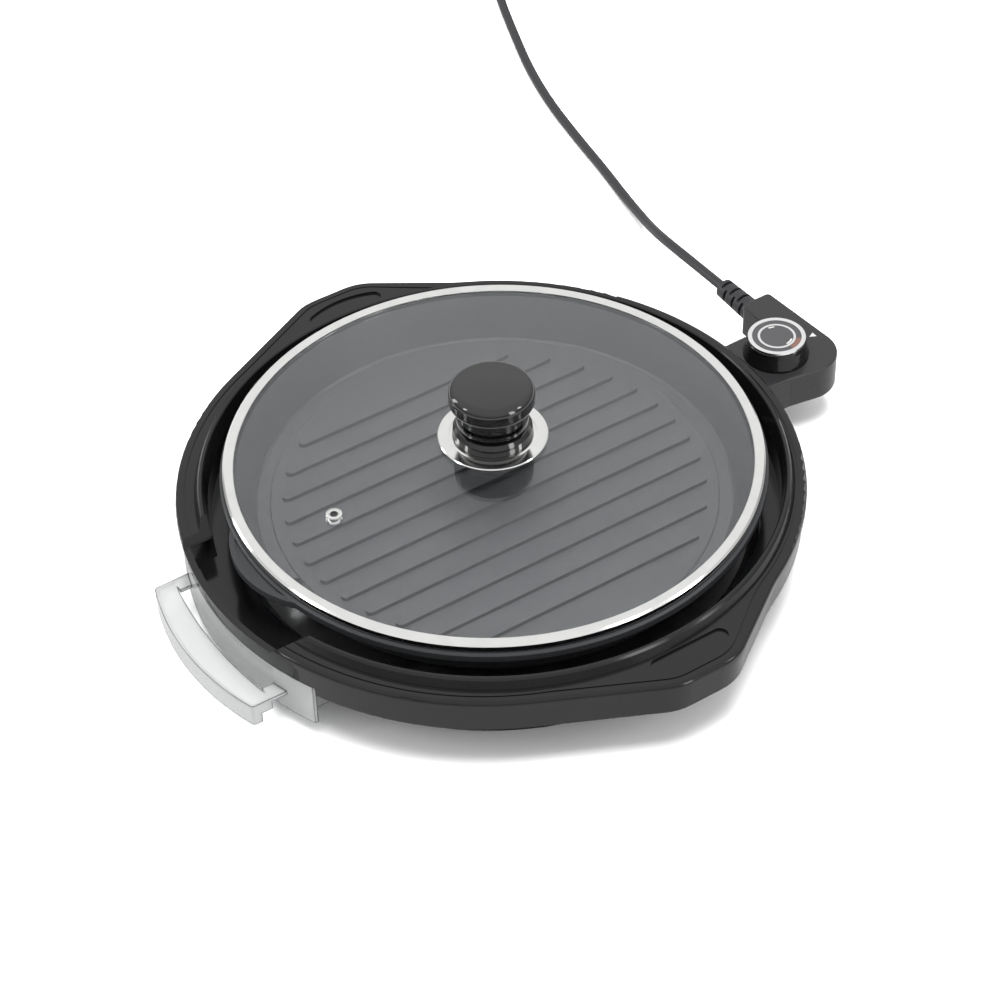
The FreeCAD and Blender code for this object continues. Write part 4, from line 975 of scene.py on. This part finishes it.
@dataclass
class Lid:
    """The glass lid with its ring, vent and knob."""

    def build(self, palette: Palette) -> None:
        """Dresses the lid."""
        paint("lid_glass", palette.glass)
        paint("lid_ring", palette.polished_steel)
        paint("vent_eyelet", palette.polished_steel)
        paint("knob_flange", palette.polished_steel)
        paint("knob_collar", palette.phenolic_knob)
        paint("knob_cap", palette.phenolic_knob)
        paint("knob_nut", palette.brass)
        paint("knob_washer", palette.silicone)
        paint("knob_screw", palette.zinc)
        LOG.info("lid: dressed")


# ------------------------------------------------------------------ tray


@dataclass
class Tray:
    """The clear drip tray."""

    def build(self, palette: Palette) -> None:
        """Dresses the tray."""
        bevel(paint("drip_tray", palette.clear_plastic), 0.5)
        LOG.info("tray: dressed")


# ------------------------------------------------------------------ thermostat


@dataclass
class Thermostat:
    """The plug-in control's shells, dial and inner works."""

    ink_height_mm: float = 0.08
    # Each sector's inner and outer radius, then its middle angle and half its spread. The amber
    # field is print; the other two are painted highlights on the cap's raised edge.
    amber_ring: tuple[float, float] = (12.1, 15.2)
    amber_arc: tuple[float, float] = (27.0, 22.0)
    # Painted highlights: light strokes where the cap's raised edge mirrors the lamps.
    near_highlight_ring: tuple[float, float] = (8.8, 9.9)
    near_highlight_arc: tuple[float, float] = (22.0, 18.0)
    far_highlight_ring: tuple[float, float] = (8.8, 9.8)
    far_highlight_arc: tuple[float, float] = (164.0, 12.0)

    def arc_patch(
        self, name: str, ring_mm: tuple[float, float], middle: float, spread: float,
        level: float, steps: int = 12,
    ) -> bpy.types.Object:
        """Prints one thin sector on the dial.

        Args:
            name: The patch's name.
            ring_mm: Its inner and outer radius.
            middle: The angle of its middle, in degrees from +X.
            spread: Half its width, in degrees.
            level: The height it is printed on, in millimetres.
            steps: The segments along it.

        Returns:
            The patch.
        """
        low, high = boxed("dial_shaft")
        x, y = (low.x + high.x) / 2, (low.y + high.y) / 2
        shape = bmesh.new()
        rings = []
        for k in range(steps + 1):
            angle = math.radians(middle - spread + 2 * spread * k / steps)
            rings.append([
                shape.verts.new((
                    (x + radius * math.cos(angle)) * MM,
                    (y + radius * math.sin(angle)) * MM,
                    (level + height) * MM,
                ))
                for radius, height in (
                    (ring_mm[0], 0.0), (ring_mm[1], 0.0),
                    (ring_mm[1], self.ink_height_mm), (ring_mm[0], self.ink_height_mm),
                )
            ])
        for before, after in zip(rings, rings[1:]):
            stitch(shape, before, after)
        shape.faces.new(rings[0])
        shape.faces.new(rings[-1])
        bmesh.ops.recalc_face_normals(shape, faces=shape.faces)
        LOG.info("thermostat: %s", name)
        return new_piece(name, to_mesh(name, shape))

    def prints(self, palette: Palette) -> None:
        """Prints the dial's amber field, and paints two highlights on the cap's raised edge."""
        scale_top = boxed("dial_scale")[1].z
        cap_top = boxed("dial_cap")[1].z
        for name, ring_mm, arc, level, ink_and_highlight in (
            ("dial_amber_field", self.amber_ring, self.amber_arc, scale_top, palette.amber_ink),
            # The next two are painted highlights, not print.
            ("dial_near_highlight", self.near_highlight_ring, self.near_highlight_arc, cap_top, palette.ink_and_highlight),
            ("dial_far_highlight", self.far_highlight_ring, self.far_highlight_arc, cap_top, palette.ink_and_highlight),
        ):
            patch = self.arc_patch(name, ring_mm, *arc, level)
            dress(patch, ink_and_highlight, "dial")

    def build(self, palette: Palette) -> None:
        """Dresses the thermostat."""
        self.prints(palette)
        bevel(paint("control_upper", palette.satin_black), 0.5)
        bevel(paint("control_lower", palette.satin_black), 0.5)
        paint("pointer_mark", palette.ink_and_highlight)
        paint("control_screws", palette.zinc)
        paint("switch_block", palette.phenolic_brown)
        paint("contact_sleeves", palette.brass)
        paint("contact_blades", palette.brass)
        paint("probe_rod", palette.nickel)
        paint("strain_relief", palette.cord)
        paint("dial_skirt", palette.gloss_black)
        paint("dial_ring", palette.chrome)
        paint("dial_scale", palette.dial_face)
        paint("dial_bezel", palette.chrome)
        paint("dial_cap", palette.dial_face)
        paint("dial_shaft", palette.zinc)
        LOG.info("thermostat: dressed")


# ------------------------------------------------------------------ all of it


def main() -> None:
    """Builds the studio and the griddle's looks."""
    logging.basicConfig(level=logging.INFO, format="%(name)s %(message)s")
    palette = Palette()
    Studio().build()
    for part in (Lead(), Base(), Plate(), Lid(), Tray(), Thermostat()):
        part.build(palette)


if __name__ == "__main__":
    main()
